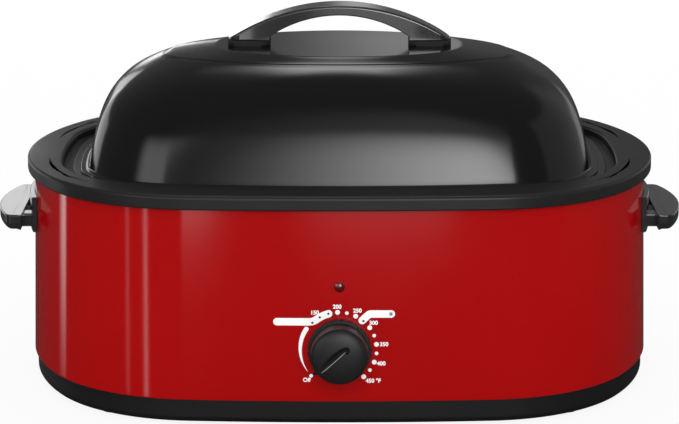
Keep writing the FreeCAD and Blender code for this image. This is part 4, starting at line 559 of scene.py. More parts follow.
@dataclass(frozen=True)
class Finish:
    """A finish: its colours, gloss and the size of its surface pattern in millimetres."""

    name: str
    colour: str
    worn: str
    roughness: float
    spread: float = 0.0
    metallic: float = 0.0
    ior: float = 1.5
    specular: float = 0.5
    coat: float = 0.0
    coat_roughness: float = 0.05
    patch_size: float = 60.0
    grain_size: float = 0.8
    grain_height: float = 0.01
    wave_size: float = 9.0
    wave_height: float = 0.0

    def build(self) -> bpy.types.Material:
        """Makes the material: mottled colour and gloss, a fine grain and a slow wave in the surface.

        Returns:
            The material.
        """
        material = bpy.data.materials.new(self.name)
        material.use_nodes = True
        tree = material.node_tree
        tree.nodes.clear()
        output = add_node(tree, "ShaderNodeOutputMaterial")
        place = add_node(tree, "ShaderNodeTexCoord").outputs["Object"]
        patches, grain, wave = (
            add_node(
                tree, "ShaderNodeTexNoise", {"Vector": place, "Scale": 1 / (size * MM), "Detail": detail}
            ).outputs["Fac"]
            for size, detail in ((self.patch_size, 4.0), (self.grain_size, 2.0), (self.wave_size, 1.0))
        )
        colour = add_node(
            tree,
            "ShaderNodeMix",
            {"Factor": patches, "A": linear(self.colour), "B": linear(self.worn)},
            data_type="RGBA",
        )
        gloss = add_node(
            tree,
            "ShaderNodeMapRange",
            {
                "Value": patches,
                "From Min": NOISE_RANGE[0],
                "From Max": NOISE_RANGE[1],
                "To Min": self.roughness - self.spread,
                "To Max": self.roughness + self.spread,
            },
        )
        normal: dict[str | int, object] = {}
        for height, distance in ((wave, self.wave_height), (grain, self.grain_height)):
            bumps = {"Height": height, "Distance": distance * MM, "Strength": 1.0}
            bump = add_node(tree, "ShaderNodeBump", {**bumps, **normal})
            normal = {"Normal": bump.outputs["Normal"]}
        shader = add_node(
            tree,
            "ShaderNodeBsdfPrincipled",
            {
                "Base Color": colour.outputs["Result"],
                "Roughness": gloss.outputs["Result"],
                "Metallic": self.metallic,
                "IOR": self.ior,
                "Specular IOR Level": self.specular,
                "Coat Weight": self.coat,
                "Coat Roughness": self.coat_roughness,
                **normal,
            },
        )
        tree.links.new(shader.outputs["BSDF"], output.inputs["Surface"])
        return material


# Every default grain and wave is drawn coarser than a real surface's, which would be too fine to show.
FINISHES = {
    # Deep red gloss: clear reflections along the wall, with full colour from every side.
    "red_enamel": Finish("baked_enamel", "#9B0506", "#9F0607", 0.09, spread=0.01),
    # Satin black: a broad soft sheen along rounded edges, broken by a fine grain.
    "collar_black": Finish(
        "moulded_collar", "#191919", "#1D1D1E", 0.38, specular=0.35, spread=0.02, grain_height=0.01
    ),
    # Matte black that gives back little light and sets the foot of the red wall off.
    "base_black": Finish("moulded_base", "#101011", "#141415", 0.6, specular=0.25, grain_height=0.02),
    # Polished black: short bright streaks along the edges of the grips.
    "handle_black": Finish("phenolic", "#1E1E1F", "#222223", 0.2, coat=1.0, grain_height=0.005),
    # Half-matte black: the knob's notches and valley read by soft shades alone.
    "knob_black": Finish("moulded_knob", "#161617", "#1A1A1B", 0.4, specular=0.35, grain_height=0.01),
    # Glossy black glass on steel: soft-edged white panels stand in the lid's wall and band.
    "lid_enamel": Finish("porcelain_enamel", "#090909", "#0B0B0B", 0.13, spread=0.01),
    # Dark grey with a blurred gloss, a little lighter where it is worn.
    "pan_enamel": Finish("pan_enamel", "#141416", "#1B1B1D", 0.3, grain_height=0.01),
    # Pale sheet with cloudy gloss and the slow waves of thin pressed metal.
    "aluminised_steel": Finish(
        "aluminised_steel", "#A9AAAA", "#BCBDBD", 0.38, spread=0.08, metallic=1.0, wave_height=0.02
    ),
    # Light grey metal with small blurred glints.
    "screw_steel": Finish("zinc_plated_steel", "#B9B8B4", "#C8C7C2", 0.32, spread=0.06, metallic=1.0),
    # Brownish grey metal, dulled unevenly by heat.
    "heater_steel": Finish("oxidised_band", "#6B6259", "#80766B", 0.5, spread=0.1, metallic=1.0),
    # Off-white felt without gloss. Its fibres are drawn as lumps of 2 mm, far coarser than real ones.
    "glass_fibre": Finish(
        "needled_glass_fibre", "#D9D4C4", "#EDE9DC", 0.95, grain_size=2.0, grain_height=0.4
    ),
    # Dark brown with a dull gloss.
    "switch_moulding": Finish("brown_phenolic", "#3A2118", "#472A1F", 0.4),
    # Warm reddish metal, unevenly bright.
    "copper": Finish("copper", "#C77B55", "#B86B46", 0.3, spread=0.08, metallic=1.0),
    # Almost black red under a clear wet gloss: one hard glint on the dome.
    "lens_red": Finish("lamp_lens", "#4A0408", "#56060A", 0.06, coat=1.0),
    # Warm white under a clear glaze.
    "porcelain": Finish("glazed_porcelain", "#E9E5DA", "#F2EFE6", 0.2, coat=0.5),
    # Dull cream sleeve without glints.
    "lead_insulation": Finish("silicone_sleeve", "#C9C4B8", "#D6D1C6", 0.6),
    # Bright wire: sharp light and dark lines along every rod.
    "rack_chrome": Finish("chromed_wire", "#D5D6D8", "#DCDDDF", 0.12, spread=0.02, metallic=1.0),
    # Dull black, slightly rough, for the gaskets and the feet.
    "gasket_rubber": Finish("black_rubber", "#141414", "#1B1B1B", 0.75, grain_height=0.02),
}
# Inks with a dull gloss: clean white marks and black marks that sink into the white. The dim grey is no ink:
# its line along the knob's ridge is a painted highlight of the ridge's edge.
WHITE_INK = Finish("screen_print", "#F2F0EE", "#FFFFFF", 0.35)
GREY_HIGHLIGHT_PAINT = Finish("pointer_print", "#8E8E90", "#9A9A9C", 0.4)
BLACK_INK = Finish("black_print", "#1A1414", "#221A1A", 0.4)


# ---------------------------------------------------------------- the oven's outlines


@dataclass
class Outlines:
    """Outlines and levels that the sub-assemblies share, from the frame and a few driving sizes."""

    collar_corner: float = 144.0
    collar_side_crown: float = 20.9
    collar_end_crown: float = 100.8
    casing_inset: float = 6.35
    casing_flare: float = 4.2
    base_notch: float = 2.5
    skirt_height: float = 11.8
    ring_end: float = 33.0
    ring_side: float = 41.75
    opening_corner: float = 96.0
    opening_side_crown: float = 26.0
    opening_end_crown: float = 18.0
    collar: Plan = field(init=False)
    casing_head: Plan = field(init=False)
    casing_foot: Plan = field(init=False)
    base: Plan = field(init=False)
    opening: Plan = field(init=False)

    def __post_init__(self) -> None:
        """Reads the frame and works out the outlines."""
        collar = NodeBox.of("rim_collar")
        casing = NodeBox.of("casing_front")
        tray = NodeBox.of("base_tray")
        self.collar_top = float(collar.high[2])
        self.collar_foot = self.collar_top - self.skirt_height
        self.casing_base, self.casing_top = float(casing.low[2]), float(casing.high[2])
        self.base_foot = float(tray.low[2])
        self.collar = Plan.from_crowns(
            float(collar.half[0]),
            float(collar.half[1]),
            self.collar_corner,
            self.collar_side_crown,
            self.collar_end_crown,
        )
        self.casing_head = self.collar.grown(-self.casing_inset)
        self.casing_foot = self.casing_head.grown(self.casing_flare)
        self.base = self.casing_foot.grown(-self.base_notch)
        self.opening = Plan.from_crowns(
            float(collar.half[0]) - self.ring_end,
            float(collar.half[1]) - self.ring_side,
            self.opening_corner,
            self.opening_side_crown,
            self.opening_end_crown,
        )

    def casing_at(self, level: float) -> Plan:
        """Outer outline of the flared casing at a height."""
        share = (self.collar_foot - level) / (self.collar_foot - self.casing_base)
        return self.casing_head.grown(self.casing_flare * share)

    def casing_front(self, x: FloatArray, z: FloatArray) -> FloatArray:
        """Y of the casing's front face at x and z.

        Formula: the front arc's radius and crown point both grow by the flare's share at z.

        Args:
            x: places across.
            z: heights.

        Returns:
            Y at each of them.
        """
        share = (self.collar_foot - z) / (self.collar_foot - self.casing_base)
        grown = self.casing_flare * share
        bow = self.casing_head.side_bow + grown
        return -(self.casing_head.half_depth - self.casing_head.side_bow + np.sqrt(bow**2 - x**2))


# ---------------------------------------------------------------- housing


@dataclass
class Housing:
    """Casing, collar and base: the fixed outside of the oven."""

    outlines: Outlines
    enamel: bpy.types.Material
    satin_black: bpy.types.Material
    base_black: bpy.types.Material
    casing_wall: float = 0.8
    casing_foot_round: float = 0.38
    casing_head_round: float = 0.2
    collar_wall: float = 3.0
    collar_plate: float = 3.8
    collar_round: float = 2.8
    skirt_round: float = 1.2
    skirt_inner_round: float = 0.6
    collar_joint: float = 12.0
    opening_step: float = 8.1
    ledge_width: float = 10.0
    ledge_thickness: float = 3.0
    ledge_round: float = 0.8
    step_under_round: float = 0.4
    base_wall: float = 2.0
    base_lip: float = 8.0
    base_lip_round: float = 0.6
    base_joint: float = 30.0
    base_round: float = 6.0

    def build(self) -> None:
        """Makes the three pieces."""
        self.casing()
        self.collar()
        self.base()

    def casing(self) -> None:
        """Flared sheet-steel wall with a hem turned in at its foot.

        Formula: the wall's leaning section is carried round the outline of the casing's foot.
        """
        lines = self.outlines
        lean = lines.casing_flare / (lines.collar_foot - lines.casing_base)
        rise = lines.casing_top - lines.casing_base
        section = rounded_path(
            [
                (0, 0, self.casing_foot_round),
                (-lean * rise, rise, self.casing_head_round),
                (-lean * rise - self.casing_wall, rise, self.casing_head_round),
                (-self.casing_wall, 0, self.casing_foot_round),
            ],
            steps=4,
            closed=True,
            hold=1.0,
        )
        stations = section + np.array([0, lines.casing_base])
        add_piece(
            "casing_shell",
            [Patch(rings(lines.casing_foot, stations), wrap_rows=True)],
            Body.HOUSING,
            self.enamel,
            ["casing_front", "casing_rear"],
        )

    def collar(self) -> None:
        """Ring with a skirt over the casing, a flat top and a step down to the ledge.

        Formula: one section is carried round the outer outline and one round the opening, and they
        join.
        """
        lines = self.outlines
        foot, top = lines.collar_foot, lines.collar_top
        under = top - self.collar_plate
        ledge = top - self.opening_step
        wall, reach = self.collar_wall, self.collar_joint
        outer = rounded_path(
            [
                (-wall, under, 0),
                (-wall, foot, self.skirt_inner_round),
                (0, foot, self.skirt_round),
                (0, top, self.collar_round),
                (-reach, top, 0),
            ],
            steps=8,
        )
        inner = rounded_path(
            [
                (reach, top, 0),
                (0, top, self.collar_round),
                (0, ledge, self.ledge_round),
                (-self.ledge_width, ledge, self.ledge_round),
                (-self.ledge_width, ledge - self.ledge_thickness, self.ledge_round),
                (wall, ledge - self.ledge_thickness, self.step_under_round),
                (wall, under, 0),
            ],
            steps=8,
        )
        grid = np.concatenate([rings(lines.collar, outer), rings(lines.opening, inner)])
        add_piece(
            "collar_ring",
            [Patch(grid, wrap_rows=True)],
            Body.HOUSING,
            self.satin_black,
            ["rim_collar"],
        )

    def base(self) -> None:
        """Moulded tray under the casing with a rounded foot.

        Formula: the wall's section is carried round the base outline and both its ends shrink to
        the middle.
        """
        lines = self.outlines
        foot = lines.base_foot
        head = lines.casing_base + self.base_lip
        wall, inward = self.base_wall, self.base_joint
        section = rounded_path(
            [
                (-inward, foot, 0),
                (0, foot, self.base_round),
                (0, head, self.base_lip_round),
                (-wall, head, self.base_lip_round),
                (-wall, foot + wall, self.base_round - wall),
                (-inward, foot + wall, 0),
            ],
            steps=10,
        )
        skin = Patch(floored(rings(lines.base, section), 9))
        add_piece("base_pan", [skin], Body.HOUSING, self.base_black, ["base_tray"])


# ---------------------------------------------------------------- lid


@dataclass
class Lid:
    """High dome with a sloping band and a flat oval panel on top, and its arched handle."""

    enamel: bpy.types.Material
    phenolic: bpy.types.Material
    flange_thickness: float = 1.2
    flange_end: float = 6.5
    flange_side: float = 3.0
    side_crown: float = 22.0
    end_crown: float = 17.0
    corner: float = 80.0
    top_corner: float = 60.0
    top_side_crown: float = 44.0
    top_end_crown: float = 30.0
    wall_rise: float = 90.4
    lean: float = 0.222
    end_sweep: float = 51.1
    side_sweep: float = 36.9
    sweep_power: float = 4.5
    panel_end_band: float = 39.7
    panel_side_band: float = 16.9
    panel_side_crown: float = 38.0
    panel_end_crown: float = 30.0
    panel_corner: float = 46.0
    crease_length: float = 153.4
    crease_depth: float = 81.5
    crease_step: float = 0.45
    crease_riser: float = 0.9
    wall: float = 1.2
    foot_round: float = 2.5
    flange_round: float = 0.55
    flange_joint: float = 1.5
    inner_half_span: float = 60.5
    leg: float = 3.6
    tip: float = 1.4
    grip_thickness: float = 8.5
    side_narrowing: float = 4.0
    tip_bow: float = 1.5
    tip_round: float = 10.0
    edge_round: float = 2.2
    under_round: float = 0.8

    def __post_init__(self) -> None:
        """Reads the lid's and the handle's boxes."""
        shell = NodeBox.of("lid_shell")
        self.flange_half = shell.half[:2]
        self.under = float(shell.low[2])
        self.foot = self.under + self.flange_thickness
        self.shoulder = self.foot + self.wall_rise
        self.panel_rise = float(shell.high[2]) - self.shoulder
        self.handle_box = NodeBox.of("lid_handle")

    def build(self) -> None:
        """Makes the dome and the handle."""
        self.dome()
        self.handle()

    def inset(self, rise: float, sweep: float) -> float:
        """How far the dome has drawn in: lean * rise + sweep * (rise / whole rise) ** sweep_power."""
        return self.lean * rise + sweep * (rise / self.wall_rise) ** self.sweep_power

    def plan_at(self, share: float, inward: float = 0.0) -> Plan:
        """Outline of the dome at a share of its rise, moved in by a wall.

        Formula: the outline shrinks by inset, and corner and crowns go from foot to head with it.

        Args:
            share: share of the wall's rise.
            inward: thickness to move in by.

        Returns:
            The outline.
        """
        end = self.inset(self.wall_rise * share, self.end_sweep)
        side = self.inset(self.wall_rise * share, self.side_sweep)
        mix = end / self.inset(self.wall_rise, self.end_sweep)
        plan = Plan.from_crowns(
            self.flange_half[0] - self.flange_end - end,
            self.flange_half[1] - self.flange_side - side,
            self.corner * (1 - mix) + self.top_corner * mix,
            self.side_crown * (1 - mix) + self.top_side_crown * mix,
            self.end_crown * (1 - mix) + self.top_end_crown * mix,
        )
        return plan.grown(-inward)

    def wall_rows(self, shares: FloatArray, inward: float) -> FloatArray:
        """Rows of the dome's wall, with a fillet to the flange at its foot.

        Formula: at a height h under the fillet's radius r the wall moves out by
        r - sqrt(r*r - (r - h)**2).

        Args:
            shares: share of the wall's rise of each row.
            inward: thickness to move in by.

        Returns:
            The rows.
        """
        rows = []
        for share in shares:
            rise = self.wall_rise * share
            below = max(self.foot_round - rise, 0.0)
            out = self.foot_round - math.sqrt(self.foot_round**2 - below**2)
            station = np.array([[out, self.foot + rise - inward]])
            rows.append(rings(self.plan_at(float(share), inward), station))
        return np.concatenate(rows)

    def panel(self, inward: float) -> Plan:
        """Oval outline of the flat panel, moved in by a wall.

        Formula: the head's outline less the band's width at the ends and at the sides.

        Args:
            inward: thickness to move in by.

        Returns:
            The outline.
        """
        top = self.plan_at(1.0)
        plan = Plan.from_crowns(
            top.half_length - self.panel_end_band,
            top.half_depth - self.panel_side_band,
            self.panel_corner,
            self.panel_side_crown,
            self.panel_end_crown,
        )
        return plan.grown(-inward)

    def band_rows(self, shares: FloatArray, inward: float) -> FloatArray:
        """Rows of the sloping band between the dome's head and the panel's edge.

        Formula: each row is head + (edge - head) * share, and its height is that share of the rise.

        Args:
            shares: share of the way in of each row.
            inward: thickness to move in by.

        Returns:
            The rows.
        """
        head, _ = self.plan_at(1.0, inward).loop()
        edge, _ = self.panel(inward).loop()
        flat = head[None] + (edge - head)[None] * shares[:, None, None]
        height = self.shoulder - inward + self.panel_rise * shares
        level = np.broadcast_to(height[:, None, None], flat.shape[:2] + (1,))
        return np.concatenate([flat, level], axis=2)

    def creased(self, rows: FloatArray, below: int, above: int) -> FloatArray:
        """Rows spread again so that one of them follows the crease, a small step round the top.

        Formula: on each column the crease is where (x / length) ** 2 + (y / depth) ** 2 = 1. The
        step stands just inside it and fades out towards the last row.

        Args:
            rows: rows from below the crease to the panel's edge.
            below: rows wanted up to the crease.
            above: rows wanted from the crease on.

        Returns:
            The rows, with the step in their heights.
        """
        columns = np.arange(rows.shape[1])
        around = np.hypot(rows[..., 0] / self.crease_length, rows[..., 1] / self.crease_depth)
        after = np.argmax(around < 1, axis=0)
        outer, inner = around[after - 1, columns], around[after, columns]
        crossing = after - 1 + (outer - 1) / (outer - inner)
        last = len(rows) - 1.001
        lower = np.linspace(0, 1, below)[:, None] * crossing[None]
        upper = crossing[None] + np.linspace(0, 1, above)[1:, None] * (last - crossing[None])
        pitch = np.linalg.norm(rows[after, columns] - rows[after - 1, columns], axis=1)
        riser = (crossing + self.crease_riser / pitch)[None]
        spots = np.concatenate([lower, riser, np.maximum(upper, riser + 0.05)])
        whole = np.floor(spots).astype(int)
        part = (spots - whole)[..., None]
        low = np.take_along_axis(rows, whole[..., None], axis=0)
        high = np.take_along_axis(rows, whole[..., None] + 1, axis=0)
        spread = low * (1 - part) + high * part
        fade = np.clip((last - spots) / (last - crossing[None]), 0, 1) * (spots > crossing[None] + 1e-6)
        spread[..., 2] += self.crease_step * smooth(fade, 0, 0.9)
        return spread

    def panel_rows(self, inward: float) -> FloatArray:
        """Rows of the flat panel, from its edge in to its middle."""
        ring = rings(self.panel(inward), np.array([[0.0, self.shoulder + self.panel_rise - inward]]))[0]
        return drawn_in(ring, np.linspace(0.97, 0, 12))

    def dome(self) -> None:
        """The lid's one sheet as a closed skin, from the middle of its inside out to its top.

        Formula: panel, band and wall rows of the inside, then the edge, then those of the outside.
        """
        flange = Plan.from_crowns(
            self.flange_half[0], self.flange_half[1], self.corner, self.side_crown, self.end_crown
        )
        edge = rounded_path(
            [
                (-self.flange_joint, self.under, 0),
                (0, self.under, self.flange_round),
                (0, self.foot, self.flange_round),
                (-self.flange_joint, self.foot, 0),
            ],
            steps=4,
        )
        fillet = np.linspace(0, self.foot_round / self.wall_rise, 7)
        foot = self.wall_rows(np.concatenate([fillet, np.linspace(0.06, 0.2, 5)]), 0.0)
        head = self.wall_rows(np.linspace(0.22, 1, 220), 0.0)
        band = self.band_rows(np.linspace(0, 1, 90)[1:], 0.0)
        grid = np.concatenate(
            [
                self.panel_rows(self.wall)[::-1],
                self.band_rows(np.linspace(1, 0.01, 16), self.wall),
                self.wall_rows(np.linspace(1, 0.02, 16), self.wall),
                rings(self.plan_at(0, self.wall), np.array([[0, self.under]])),
                rings(flange, edge),
                foot,
                self.creased(np.concatenate([head, band]), 70, 30),
                self.panel_rows(0.0),
            ]
        )
        add_piece("lid_dome", [Patch(grid)], Body.LID, self.enamel, ["lid_shell"], sharp=38)

    def handle(self) -> None:
        """Arched strap: sections across it, carried along its length.

        Formula: the top is an arc over the whole span and the underside an arc between the legs;
        each section is a rounded rectangle as wide as the plan outline there.
        """
        box = self.handle_box
        span, foot, rise = float(box.half[0]), float(box.low[2]), float(box.high[2] - box.low[2])
        half_width = float(box.half[1])
        outline = Plan.from_crowns(span, half_width, self.tip_round, self.side_narrowing, self.tip_bow)
        top_bow = bow_radius(span, rise - self.tip)
        under_rise = rise - self.grip_thickness - self.leg
        under_bow = bow_radius(self.inner_half_span, under_rise)
        swing = np.sin(np.linspace(-math.pi / 2, math.pi / 2, 121))
        tips = np.unique(np.round(swing * span, 6))
        legs = np.array([-self.inner_half_span, self.inner_half_span])
        x = np.unique(np.concatenate([tips, legs]))
        rows = []
        for at in x:
            top = rise - top_bow + math.sqrt(top_bow**2 - at**2)
            half = max(self.half_width_at(outline, abs(float(at))), 0.02)
            reach = self.inner_half_span - abs(at)
            arch = self.leg + under_rise - under_bow + math.sqrt(max(under_bow**2 - at**2, 0.0))
            unders = [0.0] if reach < -1e-6 else [arch]
            if abs(reach) <= 1e-6:
                unders = [0.0, arch] if at < 0 else [arch, 0.0]
            for under in unders:
                rows.append(self.section(float(at), half, under, top, foot))
        add_piece(
            "lid_grip",
            [Patch(capped(np.stack(rows)))],
            Body.LID,
            self.phenolic,
            ["lid_handle"],
            sharp=32,
        )

    @staticmethod
    def half_width_at(outline: Plan, x: float) -> float:
        """Half the width of an outline at x, from whichever of its three arcs is there.

        Args:
            outline: the handle's outline.
            x: distance from its middle.

        Returns:
            Half the width there.
        """
        centre_x, centre_y, meets_end, meets_side = outline.joints()
        if x <= centre_x + outline.corner * math.cos(meets_side):
            return float(outline.front_at(x))
        if x <= centre_x + outline.corner * math.cos(meets_end):
            return centre_y + math.sqrt(max(outline.corner**2 - (x - centre_x) ** 2, 0.0))
        inside = outline.end_bow**2 - (x - outline.half_length + outline.end_bow) ** 2
        return math.sqrt(max(inside, 0.0))

    def section(self, x: float, half: float, under: float, top: float, foot: float) -> FloatArray:
        """Rounded rectangle across the handle at x, anticlockwise as seen from +X.

        Args:
            x: place along the handle.
            half: half its width there.
            under: height of its underside.
            top: height of its top.
            foot: level of the handle's feet.

        Returns:
            Points of the section.
        """
        tall = top - under
        edge = min(self.edge_round, half * 0.9, tall * 0.45)
        lower = min(self.under_round, half * 0.9, tall * 0.3)
        path = rounded_box(half, under, top, lower, edge, hold=0.3)
        return np.column_stack([np.full(len(path), x), path[:, 0], path[:, 1] + foot])


# ---------------------------------------------------------------- pan


@dataclass
class Pan:
    """Lift-out pan: tapered wall, rounded foot, flat rolled rim."""

    enamel: bpy.types.Material
    rim_corner: float = 90.0
    rim_side_crown: float = 24.0
    rim_end_crown: float = 17.0
    rim_width: float = 8.0
    rim_thickness: float = 2.0
    rim_under_round: float = 0.8
    rim_round: float = 0.9
    rim_inner_round: float = 1.0
    wall: float = 1.2
    draft: float = 8.0
    foot_round: float = 18.0
    floor_joint: float = 34.0

    def build(self) -> None:
        """Makes the pan as one closed skin, from under its floor round to its inside.

        Formula: the wall's section is carried round the rim's outline and both its ends shrink to
        the middle.
        """
        box = NodeBox.of("cooking_pan")
        low, high = float(box.low[2]), float(box.high[2])
        rim = Plan.from_crowns(
            float(box.half[0]), float(box.half[1]), self.rim_corner, self.rim_side_crown, self.rim_end_crown
        )
        width, draft, wall = self.rim_width, self.draft, self.wall
        joint = -width - draft - self.floor_joint
        section = rounded_path(
            [
                (joint, low, 0),
                (-width - draft, low, self.foot_round),
                (-width, high - self.rim_thickness, self.rim_under_round),
                (0, high - self.rim_thickness, self.rim_under_round),
                (0, high, self.rim_round),
                (-width - wall, high, self.rim_inner_round),
                (-width - draft - wall, low + wall, self.foot_round - wall),
                (joint, low + wall, 0),
            ],
            steps=9,
        )
        skin = Patch(floored(rings(rim, section), 7))
        add_piece("pan_tub", [skin], Body.PAN, self.enamel, ["cooking_pan"])


# ---------------------------------------------------------------- side handles


class Side(Enum):
    """End of the oven that a side handle is on."""

    LEFT = -1
    RIGHT = 1


@dataclass
class SideHandle:
    """Moulded grip, its two arms and the plate that carries it on the casing's end."""

    side: Side
    outlines: Outlines
    phenolic: bpy.types.Material
    standoff: float = 7.85
    thickness: float = 13.5
    crown: float = 12.0
    end_round: float = 7.0
    under_round: float = 6.0
    top_round: float = 1.2
    inner_round: float = 1.5
    arm_y: float = 40.0
    arm_width: float = 15.0
    arm_drop: float = 2.0
    plate_half: float = 54.0
    plate_thickness: float = 4.0
    plate_drop: float = 3.5
    plate_round: float = 1.2
    plate_back_round: float = 0.1
    plate_gap: float = 0.25
    arm_round: float = 1.5
    top_joint: float = 7.5
    inner_weight: float = 0.18
    weight_ramp: tuple[float, float] = (1.0, 5.0)
    arm_overlap: float = 3.0
    outline_points: int = 260

    def build(self) -> None:
        """Makes the handle as one piece of four closed shells."""
        name = "side_handle_left" if self.side is Side.LEFT else "side_handle_right"
        box = NodeBox.of(name)
        self.reach = float(max(abs(box.low[0]), abs(box.high[0])))
        self.half = float(box.half[1])
        self.under = float(box.low[2]) + self.plate_drop
        self.inner = self.outlines.casing_head.half_length + self.standoff
        patches = [self.grip(), self.plate()] + [self.arm(end) for end in (-1, 1)]
        if self.side is Side.LEFT:
            patches = [Patch(patch.grid[:, ::-1] * (-1, 1, 1)) for patch in patches]
        side = self.side.name.lower()
        add_piece(f"{side}_grip", patches, Body.HOUSING, self.phenolic, [name], sharp=32)

    def grip(self) -> Patch:
        """Bowed bar: D outline, crisp top edge, well rounded lower outer edge.

        Formula: each row is the outline moved in by the row's offset times a weight that is 1 on
        the bowed side and small along the straight inner edge.

        Returns:
            The bar.
        """
        bow = bow_radius(self.half, self.crown)
        swing = math.asin(self.half / bow)
        angles = np.linspace(-swing, swing, 41)
        kept = [a for a in angles if abs(bow * math.sin(a)) < self.half - self.end_round * 1.1]
        arc = [(self.reach - bow + bow * math.cos(a), bow * math.sin(a), 0.0) for a in kept]
        edge = self.reach - bow + bow * math.cos(swing)
        corners = [
            (self.inner, -self.half, self.inner_round),
            (edge, -self.half, self.end_round),
            *arc,
            (edge, self.half, self.end_round),
            (self.inner, self.half, self.inner_round),
        ]
        outline = smooth_outline(corners, self.outline_points)
        normals = outline_normals(outline)
        start, end = self.weight_ramp
        bowed = smooth(outline[:, 0], self.inner + start, self.inner + end)
        weight = self.inner_weight + (1 - self.inner_weight) * bowed
        thick, joint = self.thickness, self.top_joint
        profile = rounded_path(
            [(-joint, 0, 0), (0, 0, self.under_round), (0, thick, self.top_round), (-joint, thick, 0)],
            steps=9,
        )
        flat = outline[None] + normals[None] * profile[:, 0][:, None, None] * weight[None, :, None]
        height = np.broadcast_to((profile[:, 1] + self.under)[:, None, None], flat.shape[:2] + (1,))
        return Patch(capped(np.concatenate([flat, height], axis=2)))

    def plate(self) -> Patch:
        """Curved plate on the casing's end: an upright section carried along the casing's arc.

        Returns:
            The plate.
        """
        foot = self.under - self.plate_drop
        head = float(NodeBox.of("side_handle_left").high[2])
        face = self.outlines.casing_at(self.under).grown(self.plate_thickness)
        back_foot = self.outlines.casing_at(foot).grown(self.plate_gap)
        back_head = self.outlines.casing_at(head).grown(self.plate_gap)
        y = np.linspace(-1, 1, 49) * self.plate_half
        rows = []
        for at in y:
            corners = [
                (float(back_foot.end_at(at)), foot, self.plate_back_round),
                (float(face.end_at(at)), foot, self.plate_round),
                (float(face.end_at(at)), head, self.plate_round),
                (float(back_head.end_at(at)), head, self.plate_back_round),
            ]
            path = rounded_path(corners, steps=5, closed=True)
            rows.append(np.column_stack([path[:, 0], np.full(len(path), at), path[:, 1]]))
        return Patch(capped(np.stack(rows)[::-1]))

    def arm(self, end: int) -> Patch:
        """Rounded bar from the plate into the grip.

        Formula: one rounded box repeated along X.

        Args:
            end: -1 for the front arm and 1 for the rear one.

        Returns:
            The arm.
        """
        half = self.arm_width / 2
        tall = self.thickness - self.arm_drop
        path = rounded_box(half, 0, tall, self.arm_round, self.arm_round)
        start = self.outlines.casing_head.half_length - self.plate_thickness
        x = np.linspace(start, self.inner + self.arm_overlap, 6)
        ring = np.column_stack([path[:, 0] + end * self.arm_y, path[:, 1] + self.under])
        rows = [np.column_stack([np.full(len(ring), at), ring]) for at in x]
        return Patch(capped(np.stack(rows)))


def smooth_outline(corners: Sequence[tuple[float, float, float]], count: int) -> FloatArray:
    """A closed outline with rounded corners, resampled to evenly spaced points.

    Formula: distance along the rounded path, read back at equal steps.

    Args:
        corners: x, y and radius of each corner.
        count: points wanted.

    Returns:
        The points, one per row.
    """
    path = rounded_path(corners, steps=12, closed=True, hold=0.0)
    ring = np.vstack([path, path[:1]])
    return resampled(ring, np.linspace(0, distances(ring)[-1], count, endpoint=False))


def outline_normals(outline: FloatArray) -> FloatArray:
    """Outward normals of an anticlockwise outline, from the chord over each point's neighbours.

    Args:
        outline: its points.

    Returns:
        A unit normal for each.
    """
    chord = np.roll(outline, -1, axis=0) - np.roll(outline, 1, axis=0)
    chord /= np.linalg.norm(chord, axis=1)[:, None]
    return np.column_stack([chord[:, 1], -chord[:, 0]])


# ---------------------------------------------------------------- knob and lamp


